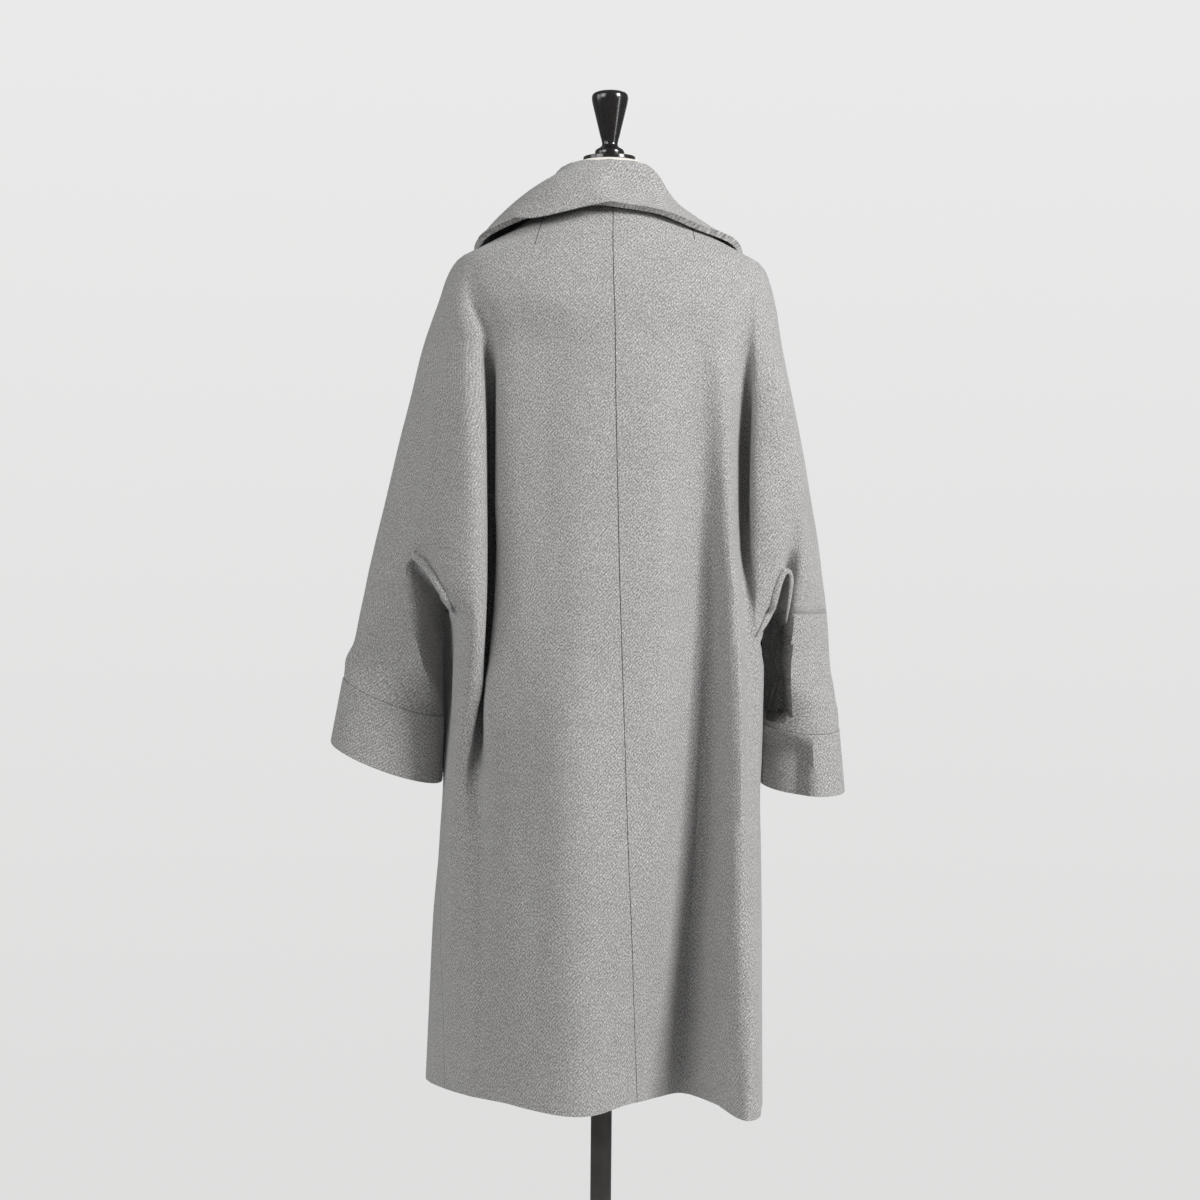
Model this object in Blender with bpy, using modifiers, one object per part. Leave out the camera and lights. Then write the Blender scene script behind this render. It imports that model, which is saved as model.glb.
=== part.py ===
"""Tent coat in heavy grey wool, worn by a limbless dress form on a pole and a round base.

Metres, +Z up, origin on the floor under the pole. The coat's back faces +Y and its left side +X.
The cloth is one skin of rings. Each ring is a smooth curve through the coat's fold lines at one height,
and the skin is cut into its panels at the seams and given its thickness.
"""

import math

import bmesh
import bpy
import numpy as np
from mathutils import Vector
from mathutils.bvhtree import BVHTree

MM = 0.001

# Driving sizes
CLOTH = 3.0 * MM
DOUBLED_CLOTH = 5.0 * MM
SEAM_GAP = 0.3 * MM
NECK_HEIGHT = 1447.0 * MM
HEM_HEIGHT = 415.0 * MM
HEM_DIP = 8.0 * MM
DIP_START = 150.0 * MM
DIP_FULL = 205.0 * MM
DIP_REACH = 250.0 * MM
UNDERARM_HEIGHT = 966.0 * MM
LAPEL_BREAK_HEIGHT = 1190.0 * MM
POLE_RADIUS = 12.3 * MM
BASE_RADIUS = 180.0 * MM
BASE_THICKNESS = 10.0 * MM
BASE_EDGE = 3.0 * MM
SOCKET_HEIGHT = 45.0 * MM
SOCKET_FOOT_RADIUS = 26.0 * MM
SOCKET_TOP_RADIUS = 22.0 * MM
FORM_FOOT = 840.0 * MM
FORM_SIDES = 32
PLATE_FOOT = 1497.3 * MM
PLATE_TOP = 1502.3 * MM
PLATE_RADIUS = 31.5 * MM
CONTACT_GAP = 0.3 * MM
ROUND_SIDES = 32
FINIAL_SIDES = 24
BASE_SIDES = 48
SHARP_ANGLE = math.radians(40)

# Fold lines of the coat, as rows of height, distance from the middle and depth, in millimetres.
# Depth is positive towards the back. Names run from the centre back round to the front opening.
CENTRE_BACK = (
    (1447, -3, 62), (1420, -4, 80), (1390, -4, 98), (1350, -5, 113), (1300, -7, 124), (1200, -9, 132),
    (1100, -12, 137), (1000, -15, 143), (900, -19, 150), (800, -23, 156), (700, -27, 161),
    (600, -32, 162), (500, -36, 154), (415, -40, 142),
)
LEFT_LINES = {
    "mid": ((1280, 42, 122), (1200, 42, 131), (1100, 40, 138), (1000, 38, 146), (900, 36, 158),
            (800, 34, 172), (700, 31, 180), (600, 28, 187), (500, 24, 191), (415, 20, 192)),
    "hollow": ((1280, 92, 108), (1200, 95, 117), (1100, 97, 120), (1000, 97, 124), (900, 98, 131),
               (800, 96, 141), (700, 95, 152), (600, 92, 162), (500, 88, 168), (415, 84, 171)),
    "edge": ((1280, 122, 95), (1200, 126, 98), (1100, 126, 99), (1040, 124, 98), (980, 126, 98),
             (910, 132, 101), (882, 136, 102), (850, 137, 103), (815, 134, 107), (760, 129, 116),
             (700, 125, 125), (600, 123, 135), (500, 121, 141), (415, 119, 143)),
    "gap": ((1280, 135, 82), (1200, 130, 60), (1100, 129, 45), (1040, 128, 41), (980, 129, 43),
            (910, 134, 54), (850, 140, 66), (800, 143, 78), (770, 143, 87), (700, 140, 104),
            (600, 139, 117), (500, 139, 123), (415, 140, 124)),
    "turn": ((1280, 141, 82), (1200, 137, 58), (1100, 137, 43), (1040, 137, 39), (980, 138, 41),
             (910, 142, 52), (850, 147, 66), (800, 150, 78), (770, 150, 86), (700, 146, 100),
             (600, 145, 113), (500, 145, 119), (415, 146, 119)),
    "lip": ((1280, 150, 92), (1200, 143, 106), (1100, 139, 112), (1000, 137, 114), (950, 138, 112),
            (910, 140, 107), (882, 141, 103), (850, 147, 98), (815, 153, 92), (770, 160, 88),
            (700, 160, 93), (600, 158, 101), (500, 156, 106), (415, 156, 107)),
    "crest": ((1280, 162, 90), (1200, 158, 112), (1100, 152, 124), (1000, 148, 128), (950, 148, 124),
              (910, 151, 114), (882, 154, 106), (850, 160, 97), (815, 167, 87), (770, 173, 78),
              (700, 175, 78), (600, 172, 85), (500, 168, 91), (415, 166, 94)),
    "roll": ((1280, 172, 82), (1200, 178, 98), (1100, 184, 106), (1040, 190, 108), (1000, 190, 106),
             (980, 186, 102), (963, 174, 96), (950, 171, 90), (900, 174, 74), (850, 177, 62),
             (800, 181, 54), (750, 184, 52), (700, 184, 56), (600, 182, 66), (500, 178, 76), (415, 174, 82)),
    "seam": ((1280, 177, 76), (1200, 188, 86), (1100, 203, 88), (1045, 214, 82), (1018, 219, 66),
             (1000, 206, 46), (985, 193, 26), (966, 187, 5)),
    "flank": ((966, 204, 38), (930, 204, 34), (900, 202, 32), (870, 196, 30), (840, 194, 26)),
    "ridge": ((1280, 183, 68), (1200, 200, 72), (1100, 215, 73), (1018, 228, 70), (980, 225, 63),
              (950, 221, 60), (920, 216, 59), (900, 211, 58), (880, 206, 55), (840, 199, 44)),
    "over": ((1447, 60, 0), (1440, 72, 0), (1410, 120, 0), (1391, 156, 0), (1380, 177, 0),
             (1360, 190, 0), (1334, 199, 0), (1275, 219, 0), (1216, 233, -2), (1157, 248, -4),
             (1098, 262, -5), (1039, 276, -6), (980, 287, -6), (921, 299, -5), (892, 309, -3),
             (870, 312, 0)),
    "side": ((966, 187, 5), (950, 183, 8), (900, 179, 12), (850, 179, 16), (800, 183, 21),
             (750, 188, 25), (700, 190, 30), (600, 189, 46), (500, 184, 62), (415, 181, 71)),
    "inner": ((966, 187, 5), (950, 190, 8), (900, 191, 8), (840, 191, 6)),
    "f_ridge": ((1280, 190, -52), (1200, 208, -58), (1100, 232, -62), (1000, 252, -64), (920, 262, -62),
                (840, 262, -50)),
    "f_seam": ((1280, 172, -72), (1200, 184, -84), (1100, 196, -84), (1040, 200, -66), (1000, 194, -34),
               (985, 191, -18), (966, 187, 5)),
    "f_side": ((1280, 152, -90), (1200, 160, -103), (1100, 171, -106), (1030, 184, -92), (966, 196, -58),
               (930, 198, -50), (900, 199, -46), (850, 198, -40), (800, 195, -34), (760, 191, -28),
               (700, 194, -18), (600, 201, -2), (415, 206, 16)),
    "f_fold": ((1280, 128, -112), (1200, 132, -127), (1100, 142, -130), (1000, 155, -120),
               (900, 163, -113), (800, 170, -112), (700, 179, -110), (415, 194, -100)),
    "f_hollow": ((1280, 104, -124), (1200, 104, -136), (1000, 118, -132), (800, 127, -132),
                 (600, 137, -136), (415, 146, -142)),
    "f_chest": ((1280, 76, -134), (1200, 66, -150), (1100, 62, -157), (1000, 66, -154), (800, 74, -166),
                (600, 80, -184), (415, 86, -200)),
}
RIGHT_LINES = {
    "mid": ((1280, 52, 119), (1200, 54, 127), (1100, 56, 131), (1000, 58, 135), (900, 60, 138),
            (800, 62, 140), (700, 64, 140), (600, 65, 134), (500, 64, 123), (415, 62, 113)),
    "hollow": ((1280, 102, 104), (1200, 107, 105), (1100, 109, 99), (1000, 110, 95), (900, 110, 94),
               (800, 108, 95), (700, 104, 96), (600, 98, 95), (500, 94, 90), (415, 91, 85)),
    "edge": ((1280, 128, 98), (1200, 134, 107), (1100, 137, 112), (1040, 139, 114), (980, 145, 117),
             (910, 149, 123), (850, 151, 130), (770, 153, 141), (700, 153, 150), (600, 151, 163),
             (500, 149, 177), (415, 147, 187)),
    "gap": ((1280, 155, 83), (1200, 158, 67), (1150, 157, 59), (1100, 157, 61), (1040, 158, 71),
            (1000, 160, 84), (950, 161, 93), (900, 161, 99), (850, 161, 105), (770, 163, 121),
            (700, 165, 136), (600, 165, 160), (500, 164, 183), (415, 162, 201)),
    "turn": ((1280, 161, 81), (1200, 164, 66), (1150, 163, 58), (1100, 163, 61), (1040, 164, 73),
             (1000, 167, 86), (950, 167, 90), (900, 168, 92), (850, 169, 95), (770, 170, 110),
             (700, 172, 123), (600, 173, 145), (500, 174, 169), (415, 174, 189)),
    "lip": ((1280, 169, 82), (1200, 168, 88), (1100, 166, 90), (1040, 168, 92), (1000, 171, 93),
            (950, 173, 88), (900, 175, 86), (850, 177, 86), (800, 177, 90), (750, 176, 99),
            (700, 177, 108), (600, 178, 127), (500, 178, 148), (415, 178, 166)),
    "crest": ((1280, 178, 78), (1200, 186, 90), (1100, 190, 93), (1020, 190, 90), (980, 186, 84),
              (960, 180, 78), (900, 182, 68), (850, 182, 64), (800, 181, 68), (750, 179, 76),
              (700, 180, 84), (600, 181, 100), (500, 181, 120), (415, 181, 138)),
    "roll": ((1280, 184, 73), (1200, 199, 86), (1100, 206, 86), (1020, 204, 79), (1000, 201, 73),
             (980, 194, 66), (963, 183, 58), (950, 182, 52), (900, 184, 44), (850, 183, 40),
             (800, 182, 42), (760, 180, 45), (700, 181, 50), (600, 182, 62), (500, 182, 80), (415, 182, 98)),
    "seam": ((1280, 189, 67), (1200, 208, 78), (1100, 217, 78), (1045, 214, 68), (1018, 207, 50),
             (1000, 201, 32), (985, 193, 12), (966, 189, -10)),
    "flank": ((966, 204, 20), (950, 205, 18), (930, 207, 2), (905, 208, -18), (880, 207, -23),
              (858, 205, -2), (840, 203, 10)),
    "ridge": ((1280, 194, 60), (1200, 214, 65), (1100, 227, 65), (1040, 227, 62), (1010, 224, 58),
              (980, 219, 56), (930, 213, 55), (880, 212, 52), (840, 214, 46)),
    "over": ((1447, 60, 0), (1440, 72, 0), (1410, 118, 0), (1391, 152, 0), (1381, 171, 0),
             (1375, 180, 0), (1360, 188, 0), (1334, 194, 0), (1287, 203, 0), (1240, 212, -2), (1192, 222, -3),
             (1145, 232, -4), (1098, 242, -5), (1051, 251, -6), (1004, 257, -6), (956, 262, -6),
             (909, 265, -5), (862, 270, -3), (845, 273, -2)),
    "side": ((966, 189, -10), (950, 184, -8), (900, 180, -4), (800, 179, 2), (700, 181, 10),
             (600, 183, 20), (500, 184, 32), (415, 184, 44)),
    "inner": ((966, 189, -10), (950, 192, -12), (935, 191, -16), (905, 187, -45), (880, 186, -56),
              (858, 186, -34), (840, 187, -14)),
    "f_ridge": ((1280, 190, -48), (1200, 206, -60), (1100, 224, -72), (1000, 236, -82), (920, 240, -86),
                (840, 238, -82)),
    "f_seam": ((1280, 172, -70), (1200, 184, -84), (1100, 198, -90), (1040, 202, -82), (1000, 196, -54),
               (985, 192, -36), (966, 189, -10)),
    "f_side": ((1280, 152, -90), (1200, 160, -103), (1100, 170, -106), (1030, 180, -98), (966, 188, -80),
               (940, 182, -75), (900, 174, -68), (850, 174, -60), (800, 178, -50), (760, 180, -45),
               (700, 182, -35), (600, 186, -24), (415, 189, -8)),
    "f_fold": ((1280, 128, -112), (1200, 132, -127), (1100, 142, -130), (1000, 153, -124),
               (900, 158, -118), (700, 168, -112), (415, 178, -106)),
    "f_hollow": ((1280, 104, -124), (1200, 104, -136), (1000, 116, -134), (800, 122, -136),
                 (600, 128, -142), (415, 134, -148)),
    "f_chest": ((1280, 76, -134), (1200, 66, -150), (1100, 62, -158), (1000, 64, -156), (800, 70, -168),
                (600, 75, -188), (415, 80, -205)),
}
# The front opening, a V down to the lapels' break and then an overlap of 70 mm.
OPENING = (
    (1447, 60, -14), (1430, 71, -22), (1400, 73, -54), (1380, 69, -80), (1330, 56, -113),
    (1280, 44, -137), (1230, 32, -151), (1190, 19, -158), (1150, 5, -162), (1110, -22, -163),
    (1070, -35, -162), (1000, -35, -161), (800, -35, -173), (600, -35, -193), (415, -35, -211),
)
LEFT_FRONT_TUCK = 7.0 * MM  # the left front lies this much further in, under the right one
TUCK_START = 1250.0 * MM
TUCK_FULL = 1165.0 * MM
CHEST_TUCK = 0.6  # share of the tuck at the chest's fold line

# Depth of the chest under the shoulders, by height
CHEST = ((1447, 36), (1430, 52), (1400, 76), (1380, 90), (1350, 105), (1330, 115), (1280, 132))
CAP_TOP = 1365.0 * MM  # above this the rings are plain ovals
CAP_FOOT = 1280.0 * MM  # below this they follow the fold lines
CAP_POWER = 2.15
NECK_DROP = 30.0 * MM  # the front of the neck's edge lies this much lower than its back
NECK_DROP_POWER = 1.6
NECK_CROWDING = 0.45  # how far the front's fold lines crowd towards the opening at the neck

BACK_KEYS = ("mid", "hollow", "edge", "gap", "turn", "lip", "crest", "roll", "seam", "ridge", "over")
BACK_SEAM = BACK_KEYS.index("seam") + 1  # below the underarm the skin parts at this fold line
FRONT_KEYS = ("f_ridge", "f_seam", "f_side", "f_fold", "f_hollow", "f_chest", "opening")
# Share of the quarter ring from the centre back to the shoulder line where each fold line starts
CAP_SHARE = {"mid": 0.20, "hollow": 0.38, "edge": 0.52, "gap": 0.59, "turn": 0.63, "lip": 0.67, "crest": 0.72,
             "roll": 0.79, "seam": 0.85, "ridge": 0.91, "over": 1.0}
# Faces between one fold line and the next, from the centre back to the front opening
BACK_FACES = (2, 2, 2, 2, 1, 2, 1, 2, 2, 3, 4)
FRONT_FACES = (3, 3, 1, 2, 1, 2, 3)

# Heights of the rows at the centre back, in millimetres
UPPER_ROWS = (1447, 1438, 1428, 1417, 1406, 1394, 1382, 1366, 1344, 1316, 1280, 1235, 1190, 1150, 1110,
              1070, 1040, 1018, 1000, 984, 966)
BODY_ROWS = (950, 925, 890, 850, 810, 770, 725, 675, 620, 560, 490, 415)
SLEEVE_STEPS = (0.0, 0.14, 0.3, 0.48, 0.66, 0.82, 0.93, 1.0)

# Cuffs' upper and lower edges: middle across and deep, half length, half depth, turn in degrees,
# height of the middle, rise towards the outside, fall towards the back
CUFFS = {
    "left": {
        "top": (249, 4, 59, 40, 4, 866, 0.37, 0.25),
        "foot": (257, 4, 65, 40, 4, 788, 0.36, 0.25),
    },
    "right": {
        "top": (231.5, -12, 45.5, 42, 0, 835, -0.09, 0.22),
        "foot": (235, -12, 49, 44, 0, 762, -0.09, 0.20),
    },
}
SLEEVE_KEYS = ("inner", "flank", "ridge", "over", "f_ridge")
FLANK_SHARE = 2 / 3  # share of the faces from the inner line to the ridge that lie before the flank
# Where round the cuff the sleeve's fold lines end, in degrees from its inner end over the back
CUFF_TURNS = {"left": (0, 13, 32, 180, 285, 360), "right": (0, 32, 65, 180, 285, 360)}
CUFF_BLEND = 0.5  # share of the sleeve's length after which it rounds out to its cuff
UNDERARM_BLEND = 0.4  # share over which it takes its own form, below the fold at the underarm
# Rows of a cuff between its upper edge, 0, and its lower edge, 1
CUFF_ROWS = (0.0, 0.08, 0.5, 0.94, 1.0)

# Collar lines by distance along its seam from the centre back, in millimetres: across, depth, height.
# The roll's line is for the neck; down the lapels the roll keeps to the front's own edge.
COLLAR_ROLL = {
    "left": (
        (0, 0, 62, 1488), (35, 35, 53, 1487), (70, 58, 32, 1480), (96, 65, 2, 1469), (130, 66, -28, 1448),
        (165, 66, -58, 1414),
    ),
    "right": (
        (0, 0, 62, 1488), (35, 34, 53, 1486), (70, 53, 32, 1474), (96, 57, 2, 1462), (130, 61, -28, 1442),
        (165, 66, -58, 1411),
    ),
}
LAPEL_START = 96.0 * MM
LAPEL_WHOLE = 165.0 * MM
LAPEL_ROLL_OUT = 10.0 * MM
LAPEL_ROLL_UP = 6.0 * MM
COLLAR_EDGE = {
    "left": (
        (0, 0, 90, 1434), (35, 54, 82, 1431), (70, 106, 62, 1419), (96, 151, 14, 1402),
        (130, 158, -34, 1388), (165, 157, -74, 1356), (200, 152, -104, 1320), (255, 138, -134, 1268),
        (310, 110, -156, 1222), (365, 72, -170, 1184), (410, 38, -178, 1166),
    ),
    "right": (
        (0, 0, 90, 1434), (35, 56, 79, 1427), (70, 104, 60, 1412), (96, 147, 14, 1401),
        (130, 156, -34, 1387), (165, 157, -74, 1356), (200, 152, -104, 1320), (255, 138, -134, 1268),
        (310, 110, -156, 1222), (365, 72, -170, 1184), (410, 38, -178, 1166),
    ),
}
NECK_STEP = 2  # the collar has a section at each second point of the neck
# How far the fall stands up between its roll and its edge, and where its two middle points lie:
# share of the way down the fall, share of the bulge
COLLAR_BULGE = {"left": 7.0 * MM, "right": -5.0 * MM}
FALL_POINTS = ((0.4, 0.96), (0.72, 0.8))
ROLL_RADIUS = 5.0 * MM
COLLAR_FACES = (2, 1, 1, 2, 1, 1)  # between the seam, the roll's three points, the fall's two and its edge
COLLAR_CLEARANCE = 4.5 * MM  # between the coat and the collar's fall

# Dress form: height, half width, depth to the back and depth to the front, in millimetres
FORM = (
    (840, 136, 92, 96), (846, 141, 97, 101), (880, 143, 99, 104), (920, 140, 98, 103),
    (1000, 122, 88, 96), (1080, 106, 80, 90), (1170, 122, 88, 108), (1250, 136, 96, 120),
    (1320, 152, 97, 104), (1350, 164, 93, 92), (1367, 168, 87, 84), (1378, 163.5, 81, 77),
    (1388, 150.4, 76, 72), (1400, 125, 70, 67), (1412, 96, 63, 61), (1426, 67, 55, 54), (1440, 51, 48, 48),
    (1460, 47, 47, 47),
    (1486, 46, 46, 46), (1494, 42, 42, 42), (1497, 34, 34, 34),
)
# Finial outline from its dome down to the neck plate: height and radius in millimetres
FINIAL = (
    (1581, 0), (1580.3, 10), (1578.4, 18), (1576, 21.2), (1572.5, 22.0), (1568, 21.6), (1550, 17.3),
    (1530, 12.4), (1517, 9.6), (1514, 12), (1510.5, 17), (1507, 17.8), (1503.5, 17), (1502.6, 14),
    (1502.6, 0),
)


def smooth_table(rows, at):
    """Monotone cubic through a table's rows, by its first column; one value for each other column."""
    rows = np.array(sorted(rows), float)
    t, values = rows[:, 0], rows[:, 1:]
    step = np.diff(t)[:, None]
    slope = np.diff(values, axis=0) / step
    tangent = np.zeros_like(values)
    for k in range(1, len(t) - 1):
        same = slope[k - 1] * slope[k] > 0
        w0, w1 = 2 * step[k] + step[k - 1], step[k] + 2 * step[k - 1]
        safe0 = np.where(same, slope[k - 1], 1)
        safe1 = np.where(same, slope[k], 1)
        tangent[k] = np.where(same, (w0 + w1) / (w0 / safe0 + w1 / safe1), 0)
    tangent[0], tangent[-1] = slope[0], slope[-1]
    at = min(max(at, t[0]), t[-1])
    k = int(np.clip(np.searchsorted(t, at, side="right") - 1, 0, len(t) - 2))
    h = t[k + 1] - t[k]
    s = (at - t[k]) / h
    return (
        (2 * s**3 - 3 * s**2 + 1) * values[k]
        + (s**3 - 2 * s**2 + s) * h * tangent[k]
        + (3 * s**2 - 2 * s**3) * values[k + 1]
        + (s**3 - s**2) * h * tangent[k + 1]
    )


def ease(value, low, high):
    """0 below low, 1 above high, smooth between."""
    s = min(max((value - low) / (high - low), 0.0), 1.0)
    return s * s * (3 - 2 * s)


def spline(points, faces, closed=False):
    """Points along a centripetal Catmull-Rom curve through points, with faces[k] steps in span k."""
    p = np.array(points, float)
    if closed:
        p = np.vstack([p[-1], p, p[0], p[1]])
    else:
        p = np.vstack([2 * p[0] - p[1], p, 2 * p[-1] - p[-2]])
    out = []
    for k, count in enumerate(faces):
        p0, p1, p2, p3 = p[k:k + 4]
        d1 = max(np.linalg.norm(p1 - p0), 1e-6) ** 0.5
        d2 = max(np.linalg.norm(p2 - p1), 1e-6) ** 0.5
        d3 = max(np.linalg.norm(p3 - p2), 1e-6) ** 0.5
        m1 = d2 * ((p1 - p0) / d1 - (p2 - p0) / (d1 + d2) + (p2 - p1) / d2)
        m2 = d2 * ((p2 - p1) / d2 - (p3 - p1) / (d2 + d3) + (p3 - p2) / d3)
        for i in range(count):
            s = i / count
            out.append(
                (2 * s**3 - 3 * s**2 + 1) * p1
                + (s**3 - 2 * s**2 + s) * m1
                + (3 * s**2 - 2 * s**3) * p2
                + (s**3 - s**2) * m2
            )
    if not closed:
        out.append(p[-2])
    return np.array(out)


def line_point(rows, height, sign):
    """The point of a fold line at a height, on the side that sign gives."""
    across, depth = smooth_table(rows, height / MM) * MM
    return np.array([sign * across, depth, height])


def centre_point(height):
    across, depth = smooth_table(CENTRE_BACK, height / MM) * MM
    return np.array([across, depth, height])


def key_point(key, height, lines, sign):
    """A fold line's point: on the plain oval of the shoulders near the neck, on its own line lower down."""
    over_x, over_y = smooth_table(lines["over"], height / MM) * MM
    if key == "over":
        return np.array([sign * over_x, over_y, height])
    open_x, open_y = smooth_table(OPENING, height / MM) * MM
    if key == "opening" and height < CAP_TOP:
        tuck = LEFT_FRONT_TUCK * (1 - ease(height, TUCK_FULL, TUCK_START)) if sign > 0 else 0.0
        return np.array([sign * open_x, open_y + tuck, height])
    if height <= CAP_FOOT:
        own = line_point(lines[key], height, sign)
        if sign > 0 and key == "f_chest":
            own[1] += CHEST_TUCK * LEFT_FRONT_TUCK * (1 - ease(height, TUCK_FULL, TUCK_START))
        return own
    if key in CAP_SHARE:
        share, reach = CAP_SHARE[key], smooth_table(CENTRE_BACK, height / MM)[1] * MM
    else:
        start = math.asin(min(1.0, abs(open_x) / over_x) ** (CAP_POWER / 2)) / (math.pi / 2)
        place = (FRONT_KEYS.index(key) + 1) / len(FRONT_KEYS)
        place **= 1 - NECK_CROWDING * ease(height, CAP_FOOT, NECK_HEIGHT)
        share, reach = 1 - place * (1 - start), -smooth_table(CHEST, height / MM)[0] * MM
    turn = share * math.pi / 2
    oval = np.array([
        sign * over_x * math.sin(turn) ** (2 / CAP_POWER),
        over_y * share + reach * max(math.cos(turn), 0.0) ** (2 / CAP_POWER),
        height,
    ])
    if key == "opening":
        return oval
    own = line_point(lines[key], height, sign)
    blend = ease(height, CAP_FOOT, CAP_TOP)
    return own * (1 - blend) + oval * blend


def cuff_turns(side, faces):
    """Angles round a cuff's oval for the sleeve's columns."""
    turns = []
    for start, end, count in zip(CUFF_TURNS[side], CUFF_TURNS[side][1:], faces):
        turns += [math.radians(start + (end - start) * k / count) for k in range(count)]
    return turns


def cuff_point(side, end, turn):
    """A point on a cuff's oval at its top or foot. Turn runs from the seam over the back to the front."""
    x, y, half_length, half_depth, yaw, height, rise, fall = CUFFS[side][end]
    sign = 1 if side == "left" else -1
    u, v = -half_length * math.cos(turn), half_depth * math.sin(turn)
    a = math.radians(yaw)
    across = u * math.cos(a) - v * math.sin(a)
    deep = u * math.sin(a) + v * math.cos(a)
    return np.array([sign * (x + across), y + deep, height + rise * across - fall * deep]) * MM


class Skin:
    """The coat's outer surface: vertices, and quads that each belong to one panel."""

    def __init__(self, back_faces, front_faces):
        self.back_faces, self.front_faces = back_faces, front_faces
        self.at_seam = sum(back_faces[:BACK_SEAM])
        self.at_over = sum(back_faces)
        self.at_front_seam = self.at_over + sum(front_faces[:2])
        self.last = self.at_over + sum(front_faces)
        to_ridge, to_over = back_faces[BACK_SEAM:]
        to_flank = round(FLANK_SHARE * to_ridge)
        self.sleeve_faces = [to_flank, to_ridge - to_flank, to_over, *front_faces[:2]]
        self.points, self.index, self.quads = [], {}, []

    def name_of(self, side, part, row, col):
        """The key under which a grid place is stored, so that seams share their vertices."""
        if col == 0:
            side = "middle"
        if part != "upper" and col == self.at_front_seam:
            col = self.at_seam
        return side, part, row, col

    def put(self, side, part, row, col, point):
        name = self.name_of(side, part, row, col)
        if name not in self.index:
            self.index[name] = len(self.points)
            self.points.append(np.array(point, float))

    def vertex(self, side, part, row, col):
        if part != "upper" and row == 0:
            part, row = "upper", len(UPPER_ROWS) - 1
        if part == "upper" and row == len(UPPER_ROWS) - 1 and col == self.at_front_seam:
            col = self.at_seam
        return self.index[self.name_of(side, part, row, col)]

    def add_quads(self, side, part, rows, columns):
        for row in range(rows):
            for col in columns:
                corners = [
                    self.vertex(side, part, row, col),
                    self.vertex(side, part, row, col + 1),
                    self.vertex(side, part, row + 1, col + 1),
                    self.vertex(side, part, row + 1, col),
                ]
                if side == "right":
                    corners.reverse()
                panel = ("back_" if col < self.at_over else "front_") + side
                self.quads.append((panel, tuple(corners)))

    def sleeve_end(self, side):
        last = len(SLEEVE_STEPS) - 1
        return [self.vertex(side, "sleeve", last, self.at_seam + k) for k in range(sum(self.sleeve_faces))]

    def normals(self):
        total = np.zeros((len(self.points), 3))
        points = np.array(self.points)
        for _, quad in self.quads:
            a, b, c, d = points[list(quad)]
            facing = np.cross(c - a, d - b)
            total[list(quad)] += facing / max(np.linalg.norm(facing), 1e-12)
        for side in ("left", "right"):
            # the lowest point of the underarm faces straight down
            total[self.vertex(side, "upper", len(UPPER_ROWS) - 1, self.at_seam)] = (0, 0, -1)
            # the sleeve's end faces out in the plane of its cuff
            axis = mouth_axis(side)
            for v in self.sleeve_end(side):
                total[v] -= (total[v] @ axis) * axis
        unit = total / np.maximum(np.linalg.norm(total, axis=1), 1e-12)[:, None]
        return unit


def mouth_axis(side):
    """The upward direction square to the mouth of the sleeve."""
    a, b, c = (cuff_point(side, "top", math.radians(turn)) for turn in (0, 120, 240))
    axis = np.cross(b - a, c - a)
    axis *= math.copysign(1, axis[2])
    return axis / np.linalg.norm(axis)


def half_ring(height, lines, sign, keys):
    """One side's fold line points; near the neck the ring tilts down to the front."""
    drop = NECK_DROP * max(0.0, (height - CAP_FOOT) / (NECK_HEIGHT - CAP_FOOT))
    ring = []
    for key in keys:
        place = (FRONT_KEYS.index(key) + 1) / len(FRONT_KEYS) if key in FRONT_KEYS else 0
        ring.append(key_point(key, height - drop * place**NECK_DROP_POWER, lines, sign))
    return ring


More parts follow.
